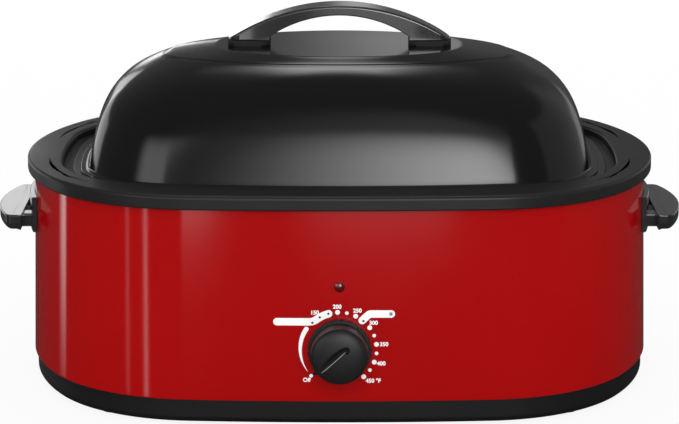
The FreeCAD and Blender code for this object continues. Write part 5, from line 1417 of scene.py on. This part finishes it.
@dataclass
class Knob:
    """Control knob: notched skirt with a nib, domed drum, and a valley along its pointer ridge.

    Its own X axis runs from the nib through the middle, and Y towards the valley.
    """

    moulding: bpy.types.Material
    # grey paint of the painted highlight along the ridge's edge
    ink: bpy.types.Material
    skirt_radius: float = 26.2
    skirt_height: float = 4.0
    skirt_inset: float = 3.0
    back_round: float = 0.4
    skirt_round: float = 0.7
    drum_foot_round: float = 0.6
    drum_radius: float = 23.6
    shoulder_radius: float = 23.2
    shoulder: float = 19.6
    face_power: float = 2.6
    points_at: float = 43.0  # degrees
    columns: int = 512
    notches: int = 24
    notch_depth: float = 0.9
    valley_depth: float = 3.0
    valley_middle: float = -4.0
    valley_length: float = 15.4
    valley_width: float = 5.2
    ridge_y: float = 1.2
    ridge_end: float = 6.6
    ridge_start: float = -19.5
    line_half: float = 0.24
    line_proud: float = 0.05
    line_overrun: float = 1.2
    line_offset: float = 0.35
    nib_reach: float = 29.5
    nib_half: float = 3.4
    nib_tip_half: float = 0.7
    nib_rise: float = 2.0
    nib_foot: float = 0.8
    nib_overlap: float = 2.0

    def build(self) -> None:
        """Makes the knob: a turned side, a domed face and the nib."""
        box = NodeBox.of("control_knob")
        self.height = float(box.high[1] - box.low[1])
        place = (0.0, float(box.high[1]) - MIDDLE_Y, float(box.centre[2]))
        turn = math.radians(self.points_at)
        patches = [Patch(facing_front(grid, place, turn)) for grid in (self.body(), self.nib())]
        add_piece("dial_knob", patches, Body.KNOB, self.moulding, ["control_knob"], sharp=40)
        line = Patch(facing_front(self.ridge_highlight(), place, turn))
        # the light grey line is a painted highlight along the ridge's edge, not a print
        add_piece("dial_pointer_line", [line], Body.KNOB, self.ink)

    def body(self) -> FloatArray:
        """Turned rows from the middle of the back to the middle of the face.

        Formula: the face is shoulder + rise * sqrt(1 - (r / radius) ** face_power), less the valley;
        the skirt's radius loses notch_depth * (half a cosine plus a half) ** 3, many times a turn.

        Returns:
            Grid about the own axis.
        """
        skirt, drum, top = self.skirt_radius, self.drum_radius, self.shoulder_radius
        side = rounded_path(
            [
                (skirt - self.skirt_inset, 0, 0),
                (skirt, 0, self.back_round),
                (skirt, self.skirt_height, self.skirt_round),
                (drum, self.skirt_height, self.drum_foot_round),
                (top, self.shoulder, 0),
            ],
            steps=7,
        )
        count = self.columns
        grid = turned(side, count)
        angles = np.linspace(0, 2 * math.pi, count, endpoint=False)
        on_rim = smooth(side[:, 0], drum + 0.8, skirt - 0.2) * smooth(side[:, 1], -0.5, 0.6)
        dip = self.notch_depth / skirt * (0.5 + 0.5 * np.cos(self.notches * angles)) ** 3
        grid[..., :2] *= (1 - on_rim[:, None] * dip[None])[..., None]
        radius = top * np.sin(np.linspace(math.pi / 2, 0, 76))[1:]
        face = turned(np.column_stack([radius, self.face_height(radius)]), count)
        face[..., 2] -= self.valley(face[..., 0], face[..., 1])
        return np.concatenate([np.zeros((1, count, 3)), grid, face])

    def face_height(self, radius: FloatArray) -> FloatArray:
        """Height of the domed face above the back of the knob."""
        dome = np.sqrt(1 - (radius / self.shoulder_radius) ** self.face_power)
        return self.shoulder + (self.height - self.shoulder) * dome

    def ridge_highlight(self) -> FloatArray:
        """Painted highlight: a fine light grey line along the ridge's edge, as sections across it that close
        to a point.

        Formula: each section is ridge +- half width, at the height of the domed face there.

        Returns:
            Grid about the own axis.
        """
        x = np.linspace(self.ridge_start, self.ridge_end + self.line_overrun, 60)
        half = self.line_half * np.sqrt(np.clip(1 - np.linspace(-1, 1, 60) ** 8, 0, 1)) + 1e-3
        across = np.array([-1.0, 1.0, 1.0, -1.0])
        proud = np.array([-0.05, -0.05, 1.0, 1.0]) * self.line_proud
        y = self.ridge_y - self.line_half - self.line_offset + half[:, None] * across
        level = self.face_height(np.hypot(x[:, None], y)) + proud
        return capped(np.stack([np.broadcast_to(x[:, None], y.shape), y, level], axis=-1)[:, ::-1])

    def valley(self, x: FloatArray, y: FloatArray) -> FloatArray:
        """Depth of the valley: a leaf cut off by the ridge, soft along its side, steep at its end.

        Formula: depth * (1 - q ** power) inside an ellipse, where q is the ellipse's own radius and
        the power grows from 2 to 6 towards the closed end, times a steep edge at the ridge.

        Args:
            x: places along the pointer.
            y: places across it.

        Returns:
            Depth at each of them.
        """
        round_middle = np.hypot((x - self.valley_middle) / self.valley_length, (y - 1) / self.valley_width)
        power = 2 + 4 * smooth(x, -2, 9)
        leaf = 1 - np.clip(round_middle, 0, 1) ** power
        beside = smooth(y, self.ridge_y - 0.3, self.ridge_y + 0.4)
        beyond = smooth(x, self.ridge_end - 0.3, self.ridge_end + 0.6)
        return self.valley_depth * leaf * np.maximum(beside, beyond)

    def nib(self) -> FloatArray:
        """Tapered pointer on the skirt: rounded sections that narrow towards its tip.

        Formula: half width and height go from their root to their tip in a straight line.

        Returns:
            Grid about the own axis.
        """
        start, tip = self.drum_radius - self.nib_overlap, self.nib_reach
        rows = []
        for share in np.linspace(0, 1, 12):
            x = start + (tip - start) * share
            half = self.nib_half * (1 - share) + self.nib_tip_half * share
            high = self.skirt_height + self.nib_rise * (1 - share)
            section = rounded_box(half, self.nib_foot, high, 0.2, 0.5, hold=0.2)
            rows.append(np.column_stack([np.full(len(section), -x), -section[:, 0], section[:, 1]]))
        return capped(np.stack(rows))


@dataclass
class PilotLamp:
    """Domed dark red lens."""

    lens: bpy.types.Material
    radius: float = 4.25
    stem: float = 3.0
    neck: float = 3.95
    lip: float = 0.3
    rim: float = 0.55
    dome_power: float = 2.4

    def build(self) -> None:
        """Makes the lens: a stem, a thin edge and a dome of 1 - (r / radius) ** dome_power."""
        box = NodeBox.of("indicator_lens")
        high = float(box.high[1] - box.low[1]) - self.stem
        place = (0.0, float(box.high[1]) - self.stem - MIDDLE_Y, float(box.centre[2]))
        side = rounded_path(
            [
                (0, -self.stem, 0),
                (self.neck, -self.stem, 0.2),
                (self.neck, self.lip, 0),
                (self.radius, self.lip, 0.1),
                (self.radius, self.rim, 0),
            ]
        )
        radius = np.linspace(self.radius, 0, 24)[1:]
        fall = (radius / self.radius) ** self.dome_power
        dome = np.column_stack([radius, self.rim + (high - self.rim) * (1 - fall)])
        grid = turned(np.concatenate([side, dome]), 64)
        patch = Patch(facing_front(grid, place))
        add_piece("pilot_lens", [patch], Body.HOUSING, self.lens, ["indicator_lens"], sharp=40)


@dataclass
class Dial:
    """Scale printed on the casing round the knob: dots, bars, an off-to-warm crescent and numbers.

    Places are millimetres across and up from the knob's axis.
    """

    outlines: Outlines
    white: bpy.types.Material
    black: bpy.types.Material
    ring: float = 31.0
    ring_middle: tuple[float, float] = (-0.5, 0.5)
    crescent_middle: tuple[float, float] = (-0.7, 1.3)
    first_angle: float = 92.0  # degrees, as are the other angles
    step_angle: float = 14.1
    large_dot: float = 2.0
    small_dot: float = 1.5
    inset_dot: float = 0.95
    bar_half: float = 3.1
    warm_arc: tuple[float, float] = (126.0, 100.0)
    crescent_arc: tuple[float, float] = (145.0, 219.0)
    crescent_radius: tuple[float, float] = (30.9, 32.1)
    crescent_half: float = 1.9
    crescent_head: float = 0.045
    star_middle: tuple[float, float] = (42.0, 30.0)
    star_reach: float = 2.1
    star_stroke: float = 0.28
    text_size: float = 4.65
    text_weight: float = 0.17
    ink: float = 0.05
    lift: float = 0.04

    STEPS_LARGE = (0, 2, 4, 6, 8, 10)
    STEPS_SMALL = (1, 5, 7, 9)
    STEPS_INSET = (-3, -2, -1, 3)
    OFF_DOT = (-23.3, -22.1)
    WARM_BAR = ((-54.2, 23.5, 0.0), (-21.5, 23.5, 9.0))
    THAW_BAR = ((16.3, 22.5, 0.0), (24.4, 30.1, 3.0), (45.3, 30.0, 0.0))
    WORDS = {
        "150": (-20.3, 31.1),
        "200": (-1.9, 36.1),
        "250": (14.6, 32.8),
        "300": (27.8, 22.5),
        "350": (36.4, 4.4),
        "400": (34.2, -11.8),
        "450 °F": (27.7, -26.4),
        "Off": (-26.9, -25.7),
    }

    def build(self) -> None:
        """Prints the white marks, the black marks on them and the numbers."""
        self.level = float(NodeBox.of("control_knob").centre[2])
        white = [self.dot(self.on_ring(step), self.large_dot) for step in self.STEPS_LARGE]
        white += [self.dot(self.on_ring(step), self.small_dot) for step in self.STEPS_SMALL]
        white += [self.dot(self.OFF_DOT, self.small_dot), self.warm_bar(), self.band(self.THAW_BAR)]
        white.append(self.crescent())
        add_piece("dial_marks", white, Body.HOUSING, self.white)
        black = [self.dot(self.on_ring(step), self.inset_dot, 1) for step in self.STEPS_INSET]
        black += [self.spoke(angle) for angle in (0, 60, 120)]
        add_piece("dial_inset_marks", black, Body.HOUSING, self.black)
        self.numbers()

    def on_ring(self, step: int) -> tuple[float, float]:
        """Place of a mark on the ring, counted in steps clockwise from the highest."""
        return self.at_angle(math.radians(self.first_angle - self.step_angle * step))

    def at_angle(self, angle: float) -> tuple[float, float]:
        """Place on the ring at an angle from +X."""
        across, up = self.ring_middle
        return across + self.ring * math.cos(angle), up + self.ring * math.sin(angle)

    def laid(self, x: FloatArray, z: FloatArray, proud: FloatArray | float) -> FloatArray:
        """Points on the casing's front face at x and z, standing proud of it."""
        up = np.asarray(z) + self.level
        return np.stack([x, self.outlines.casing_front(x, up) - proud, up], axis=-1)

    def dot(self, place: tuple[float, float], radius: float, layer: int = 0) -> Patch:
        """Round mark: a flat disc with a thin edge.

        Formula: a stepped profile of radius and height, turned and laid on the casing.

        Args:
            place: its middle.
            radius: its radius.
            layer: 0 on the enamel and 1 on the white ink.

        Returns:
            The mark.
        """
        base = self.lift + layer * self.ink
        edge, top = base + self.ink, base + self.ink * 1.2
        profile = np.array([(0, base), (radius, base), (radius, edge), (radius * 0.9, top), (0, top)])
        disc = turned(profile, 32)
        return Patch(self.laid(disc[..., 0] + place[0], disc[..., 1] + place[1], disc[..., 2]))

    def ribbon(self, line: FloatArray, half: FloatArray, layer: int = 0) -> Patch:
        """Band of ink along a line.

        Formula: each section is line +- normal * half, at the ink's foot and at its top.

        Args:
            line: points of its middle line.
            half: half its width at each of them.
            layer: 0 on the enamel and 1 on the white ink.

        Returns:
            The band.
        """
        along = np.gradient(line, axis=0)
        along /= np.linalg.norm(along, axis=1)[:, None]
        normal = np.column_stack([along[:, 1], -along[:, 0]]) * half[:, None]
        base = self.lift + layer * self.ink
        left, right = line - normal, line + normal
        flat = np.stack([left, right, right, left], axis=1)
        proud = np.broadcast_to(np.array([base, base, base + self.ink, base + self.ink]), flat.shape[:2])
        return Patch(self.laid(flat[..., 0], flat[..., 1], proud)[:, ::-1])

    def rounded_ends(self, line: FloatArray, half: float) -> FloatArray:
        """Half widths of a band with round ends: sqrt(h*h - (h - distance to the end) ** 2).

        Args:
            line: points of the middle line.
            half: half the width between the ends.

        Returns:
            Half the width at each point.
        """
        along = distances(line)
        to_end = np.minimum(along, along[-1] - along)
        return np.sqrt(np.clip(half**2 - np.clip(half - to_end, 0, half) ** 2, 0, None))

    def band(self, corners: Sequence[tuple[float, float, float]]) -> Patch:
        """Bar with round ends along a path with rounded corners.

        Formula: the rounded path is read back close together near its ends and evenly between them.

        Args:
            corners: place and radius of each corner.

        Returns:
            The bar.
        """
        path = rounded_path(corners, steps=14, hold=0.0)
        total = distances(path)[-1]
        cap = self.bar_half * (1 - np.cos(np.linspace(0, math.pi / 2, 12)))
        middle = np.linspace(self.bar_half, total - self.bar_half, 60)[1:-1]
        line = resampled(path, np.concatenate([cap, middle, total - cap[::-1]]))
        return self.ribbon(line, self.rounded_ends(line, self.bar_half))

    def warm_bar(self) -> Patch:
        """Bar from the left that bends along the ring."""
        arc = [(*self.at_angle(angle), 0.0) for angle in np.radians(np.linspace(*self.warm_arc, 7))]
        return self.band([*self.WARM_BAR, *arc])

    def crescent(self) -> Patch:
        """Arc round the left of the knob that tapers from its round head to a fine tail.

        Formula: radius and angle grow with the share s, and the width is half * head * (1 - s **
        1.6).

        Returns:
            The arc.
        """
        share = np.concatenate([np.linspace(0, 0.05, 12), np.linspace(0.06, 1, 60)])
        angles = np.radians(np.interp(share, (0, 1), self.crescent_arc))
        radius = np.interp(share, (0, 1), self.crescent_radius)
        line = self.crescent_middle + radius[:, None] * np.column_stack([np.cos(angles), np.sin(angles)])
        head = np.sqrt(1 - (1 - np.clip(share / self.crescent_head, 0, 1)) ** 2)
        return self.ribbon(line, self.crescent_half * head * (1 - share**1.6) + 0.02)

    def spoke(self, angle: float) -> Patch:
        """One of the three strokes of the frost star.

        Args:
            angle: its direction, in degrees.

        Returns:
            The stroke.
        """
        way = np.array([math.cos(math.radians(angle)), math.sin(math.radians(angle))])
        line = np.array(self.star_middle) + way * np.linspace(-self.star_reach, self.star_reach, 7)[:, None]
        return self.ribbon(line, np.full(7, self.star_stroke), 1)

    def numbers(self) -> None:
        """Numbers beside their dots, and the word at the off mark."""
        work = bmesh.new()
        for word, (x, z) in self.WORDS.items():
            text = bpy.data.curves.new("number", "FONT")
            text.body = word
            text.size = self.text_size
            text.offset = self.text_weight
            text.extrude = self.ink / 2
            text.align_x, text.align_y = "CENTER", "CENTER"
            writing = bpy.data.objects.new("number", text)
            mesh = bpy.data.meshes.new_from_object(writing)
            spots = np.empty(len(mesh.vertices) * 3)
            mesh.vertices.foreach_get("co", spots)
            spots = spots.reshape(-1, 3)
            laid = self.laid(spots[:, 0] + x, spots[:, 1] + z, spots[:, 2] + self.lift + self.ink / 2)
            mesh.vertices.foreach_set("co", ((laid + (0, MIDDLE_Y, 0)) * MM).ravel())
            work.from_mesh(mesh)
            bpy.data.objects.remove(writing)
            bpy.data.meshes.remove(mesh)
        bmesh.ops.remove_doubles(work, verts=work.verts, dist=MERGE_WITHIN)
        lettering = bpy.data.meshes.new("dial_numbers")
        work.to_mesh(lettering)
        work.free()
        add_piece("dial_numbers", lettering, Body.HOUSING, self.white)


# ---------------------------------------------------------------- studio


@dataclass
class Studio:
    """Pale floor, white surroundings, soft lamps and the camera.

    The lens and its sensor are in millimetres, the floor's reach in metres, the tilt in degrees and
    the heights between which the glow of the ground turns into the room's in radians.
    """

    distance: float = 2265.64
    height: float = 673.72
    tilt: float = 76.702
    focal: float = 139.89
    sensor: float = 36.0
    floor_reach: float = 12.0
    floor_white: float = 0.9
    room_glow: float = 0.14
    ground_glow: float = 0.04
    horizon: tuple[float, float] = (-0.3, 0.25)
    soft_glow: float = 0.35

    def build(self) -> None:
        """Makes the camera, the floor, the world and the lamps."""
        self.camera()
        self.floor()
        self.world()
        self.lamps()
        bpy.context.scene.view_settings.view_transform = "Standard"

    def camera(self) -> None:
        """Camera in front of the oven, a little above it."""
        data = bpy.data.cameras.new("camera")
        data.lens = self.focal
        data.sensor_width = self.sensor
        camera = bpy.data.objects.new("camera", data)
        camera.location = (0.0, (MIDDLE_Y - self.distance) * MM, self.height * MM)
        camera.rotation_euler = (math.radians(self.tilt), 0.0, 0.0)
        bpy.context.scene.collection.objects.link(camera)
        bpy.context.scene.camera = camera

    def floor(self) -> None:
        """Large pale floor that shows to the camera as white paper and keeps the oven's shadow."""
        mesh = bpy.data.meshes.new("floor")
        reach = self.floor_reach
        corners = [(-reach, -reach, 0), (reach, -reach, 0), (reach, reach, 0), (-reach, reach, 0)]
        mesh.from_pydata(corners, [], [(0, 1, 2, 3)])
        floor = bpy.data.objects.new("floor", mesh)
        bpy.context.scene.collection.objects.link(floor)
        floor.visible_glossy = False
        material = bpy.data.materials.new("floor_paper")
        material.use_nodes = True
        tree = material.node_tree
        tree.nodes.clear()
        output = add_node(tree, "ShaderNodeOutputMaterial")
        paper = add_node(tree, "ShaderNodeBsdfDiffuse", {"Color": linear("#F2F2F2")})
        white = add_node(tree, "ShaderNodeEmission", {"Color": linear("#FFFFFF"), "Strength": 1.0})
        camera_ray = add_node(tree, "ShaderNodeLightPath").outputs["Is Camera Ray"]
        seen = add_node(tree, "ShaderNodeMath", {0: camera_ray, 1: self.floor_white}, operation="MULTIPLY")
        choice = {0: seen.outputs[0], 1: paper.outputs[0], 2: white.outputs[0]}
        mix = add_node(tree, "ShaderNodeMixShader", choice)
        tree.links.new(mix.outputs[0], output.inputs["Surface"])
        mesh.materials.append(material)

    def world(self) -> None:
        """White to the camera, softboxes in an almost dark room to gloss, a dim glow to the rest."""
        world = bpy.data.worlds.new("studio")
        bpy.context.scene.world = world
        world.use_nodes = True
        tree = world.node_tree
        tree.nodes.clear()
        output = add_node(tree, "ShaderNodeOutputWorld")
        way = add_node(tree, "ShaderNodeTexCoord").outputs["Generated"]
        axes = add_node(tree, "ShaderNodeSeparateXYZ", {0: way})
        across, along, up = axes.outputs
        ahead = add_node(tree, "ShaderNodeMath", {0: along, 1: -1.0}, operation="MULTIPLY").outputs[0]
        bearings = {
            facing: add_node(tree, "ShaderNodeMath", {0: across, 1: depth}, operation="ARCTAN2").outputs[0]
            for facing, depth in ((Facing.BACK, along), (Facing.FRONT, ahead))
        }
        height = add_node(tree, "ShaderNodeMath", {0: up}, operation="ARCSINE").outputs[0]
        sky = add_node(
            tree,
            "ShaderNodeMapRange",
            {
                "Value": height,
                "From Min": self.horizon[0],
                "From Max": self.horizon[1],
                "To Min": self.ground_glow,
                "To Max": self.room_glow,
            },
            interpolation_type="SMOOTHSTEP",
        )
        total = sky.outputs[0]
        for box in SOFTBOXES:
            glow = box.glow(tree, bearings[box.facing], height)
            total = add_node(tree, "ShaderNodeMath", {0: total, 1: glow}, operation="ADD").outputs[0]
        shader, gloss, white = (
            add_node(tree, "ShaderNodeBackground", {"Color": linear("#FFFFFF"), "Strength": strength})
            for strength in (self.soft_glow, total, 1.0)
        )
        path = add_node(tree, "ShaderNodeLightPath")
        for ray, look in (("Is Glossy Ray", gloss), ("Is Camera Ray", white)):
            choice = {0: path.outputs[ray], 1: shader.outputs[0], 2: look.outputs[0]}
            shader = add_node(tree, "ShaderNodeMixShader", choice)
        tree.links.new(shader.outputs[0], output.inputs["Surface"])

    def lamps(self) -> None:
        """Soft fills that light without showing in gloss."""
        add_lamp("front_fill", (0.0, -3.0, 1.7), (0.0, 0.0, 0.1), (3.0, 2.0), 70.0)
        add_lamp("left_fill", (-3.0, -0.6, 1.3), (0.0, 0.0, 0.1), (1.8, 1.8), 16.0)
        add_lamp("right_fill", (3.0, -0.6, 1.3), (0.0, 0.0, 0.1), (1.8, 1.8), 16.0)
        add_lamp("top_fill", (0.0, 0.4, 3.0), (0.0, 0.0, 0.1), (2.4, 2.0), 26.0)
        add_lamp("back_fill", (0.0, 3.0, 1.7), (0.0, 0.0, 0.1), (3.0, 2.0), 40.0)
        add_lamp("left_grip_card", (-0.4, 0.6, 0.32), (-0.29, 0.0, 0.18), (0.13, 0.16), 0.075, gloss=True)


class Facing(Enum):
    """Which way a bearing of zero looks."""

    BACK = "behind the oven"
    FRONT = "before the oven"


@dataclass(frozen=True)
class Softbox:
    """A soft-edged panel far away, in degrees of bearing and height, seen only in gloss.

    Bearings grow towards +X. Each edge fades inwards over its own width.
    """

    facing: Facing
    left: float
    right: float
    low: float
    high: float
    radiance: float
    fade_left: float = 2.0
    fade_right: float = 2.0
    fade_low: float = 2.0
    fade_high: float = 2.0

    def glow(
        self, tree: bpy.types.NodeTree, bearing: bpy.types.NodeSocket, height: bpy.types.NodeSocket
    ) -> bpy.types.NodeSocket:
        """Adds the panel's nodes: radiance times four smooth steps, one at each edge.

        Args:
            tree: the world's node tree.
            bearing: angle across, in radians.
            height: angle above the horizon, in radians.

        Returns:
            The output that carries the panel's radiance.
        """
        edges = [
            (bearing, self.left, self.left + self.fade_left),
            (bearing, self.right, self.right - self.fade_right),
            (height, self.low, self.low + self.fade_low),
            (height, self.high, self.high - self.fade_high),
        ]
        glow: bpy.types.NodeSocket | float = self.radiance
        for angle, outside, inside in edges:
            step = add_node(
                tree,
                "ShaderNodeMapRange",
                {"Value": angle, "From Min": math.radians(outside), "From Max": math.radians(inside)},
                interpolation_type="SMOOTHSTEP",
            )
            shaded = add_node(tree, "ShaderNodeMath", {0: glow, 1: step.outputs[0]}, operation="MULTIPLY")
            glow = shaded.outputs[0]
        return glow


SOFTBOXES = (
    # Shown by what faces the front: the lid's wall and the faces of the handles.
    Softbox(Facing.FRONT, -20, 21.5, -9, 35, 13.5, fade_left=60, fade_right=2, fade_low=16, fade_high=24),
    Softbox(Facing.FRONT, -30, 27, 20, 72, 0.5, fade_left=50, fade_right=6, fade_low=4, fade_high=36),
    Softbox(Facing.FRONT, -62, -20.5, -2, 34, 1.9, fade_left=14, fade_right=2, fade_low=8, fade_high=14),
    Softbox(Facing.FRONT, -42, -38.3, -22, -4, 3.0, fade_left=2.6, fade_right=0.6, fade_low=6, fade_high=4),
    Softbox(Facing.FRONT, -55, -52, -17, -5, 1.1, fade_left=1, fade_right=1, fade_low=4, fade_high=4),
    Softbox(Facing.FRONT, -4.5, 8.8, -10.4, -5, 1.2, fade_left=4.5, fade_right=1, fade_low=0.4, fade_high=2),
    Softbox(Facing.FRONT, -14, -9.2, -10.4, -5, 3.0, fade_left=1, fade_right=0.6, fade_low=0.4, fade_high=2),
    # Shown by what faces up: the lid's panel and band and the tops of the collar and the handles.
    Softbox(Facing.BACK, -66.5, -55, -16.5, -2, 3.2, fade_left=1, fade_right=9, fade_low=6, fade_high=3),
    Softbox(Facing.BACK, -54, -17, -12, 12.5, 1.0, fade_left=5, fade_right=6, fade_low=4, fade_high=5),
    Softbox(Facing.BACK, 17, 42, -10, 11, 0.36, fade_left=4, fade_right=4, fade_low=4, fade_high=5),
    Softbox(Facing.BACK, 22, 118, -12, 46, 0.2, fade_left=20, fade_right=6, fade_low=5, fade_high=8),
    Softbox(Facing.BACK, -1.9, 5.5, 5, 14, 0.42, fade_left=3.4, fade_right=3, fade_low=3, fade_high=2),
    Softbox(Facing.BACK, -17, 16, 43, 69, 4.2, fade_left=9, fade_right=9, fade_low=16, fade_high=7),
    Softbox(Facing.BACK, -13, -4, -1, 6.2, 2.2, fade_left=3, fade_right=1.5, fade_low=2, fade_high=1.6),
)


def add_lamp(
    name: str,
    place: tuple[float, float, float],
    aim: tuple[float, float, float],
    size: tuple[float, float],
    watts: float,
    gloss: bool = False,
) -> None:
    """Adds a rectangular lamp that the camera doesn't see, for matte light or for gloss alone.

    Args:
        name: its name.
        place: where it stands, in metres.
        aim: the point that it faces.
        size: its width and height.
        watts: its power.
        gloss: whether it shows in gloss and lights nothing else.
    """
    data = bpy.data.lights.new(name, "AREA")
    data.shape = "RECTANGLE"
    data.size, data.size_y = size
    data.energy = watts
    lamp = bpy.data.objects.new(name, data)
    lamp.location = place
    facing = Vector(aim) - Vector(place)
    lamp.rotation_euler = facing.to_track_quat("-Z", "Y").to_euler()
    lamp.visible_glossy = gloss
    lamp.visible_diffuse = not gloss
    lamp.visible_camera = False
    bpy.context.scene.collection.objects.link(lamp)


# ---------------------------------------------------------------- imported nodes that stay


def dress_nodes(finishes: dict[str, bpy.types.Material]) -> None:
    """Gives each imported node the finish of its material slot.

    Args:
        finishes: material of each slot of the record.
    """
    for part in frame["record"]["subparts"]:
        node = bpy.data.objects.get(part["node"])
        finish = finishes.get(part["material_slot"])
        if node is None or finish is None:
            log.warning("%s is left as packed", part["node"])
            continue
        node.data.materials.clear()
        node.data.materials.append(finish)


ROUND_NODES = {
    (Body.RACK, "rack_chrome"): ("roasting_rack", "rack_handle_left", "rack_handle_right"),
    (Body.LID, "gasket_rubber"): ("handle_gasket_left", "handle_gasket_right"),
    (Body.HOUSING, "aluminised_steel"): ("inner_liner",),
    (Body.HOUSING, "base_black"): ("cord_gland",),
    (Body.HOUSING, "foot_rubber"): (
        "foot_front_left",
        "foot_front_right",
        "foot_rear_left",
        "foot_rear_right",
    ),
}


def smooth_copies(finishes: dict[str, bpy.types.Material]) -> None:
    """Stands a smooth-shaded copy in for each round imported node, whose own triangles are loose.

    Args:
        finishes: material of each slot.
    """
    for (body, slot), nodes in ROUND_NODES.items():
        for name in nodes:
            mesh = bpy.data.objects[name].data.copy()
            merge_points(mesh)
            mesh.materials.clear()
            add_piece(f"{name}_skin", mesh, body, finishes[slot], [name], sharp=30)


def main() -> None:
    """Builds the oven's pieces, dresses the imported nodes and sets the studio."""
    logging.basicConfig(level=logging.INFO, format="%(message)s")
    outlines = Outlines()
    finishes = {slot: finish.build() for slot, finish in FINISHES.items()}
    finishes["foot_rubber"] = finishes["gasket_rubber"]  # gaskets and feet are of one rubber
    phenolic = finishes["handle_black"]
    Housing(outlines, finishes["red_enamel"], finishes["collar_black"], finishes["base_black"]).build()
    Lid(finishes["lid_enamel"], phenolic).build()
    Pan(finishes["pan_enamel"]).build()
    for side in Side:
        SideHandle(side, outlines, phenolic).build()
    Knob(finishes["knob_black"], GREY_HIGHLIGHT_PAINT.build()).build()
    PilotLamp(finishes["lens_red"]).build()
    Dial(outlines, WHITE_INK.build(), BLACK_INK.build()).build()
    dress_nodes(finishes)
    smooth_copies(finishes)
    Studio().build()


if __name__ == "__main__":
    main()
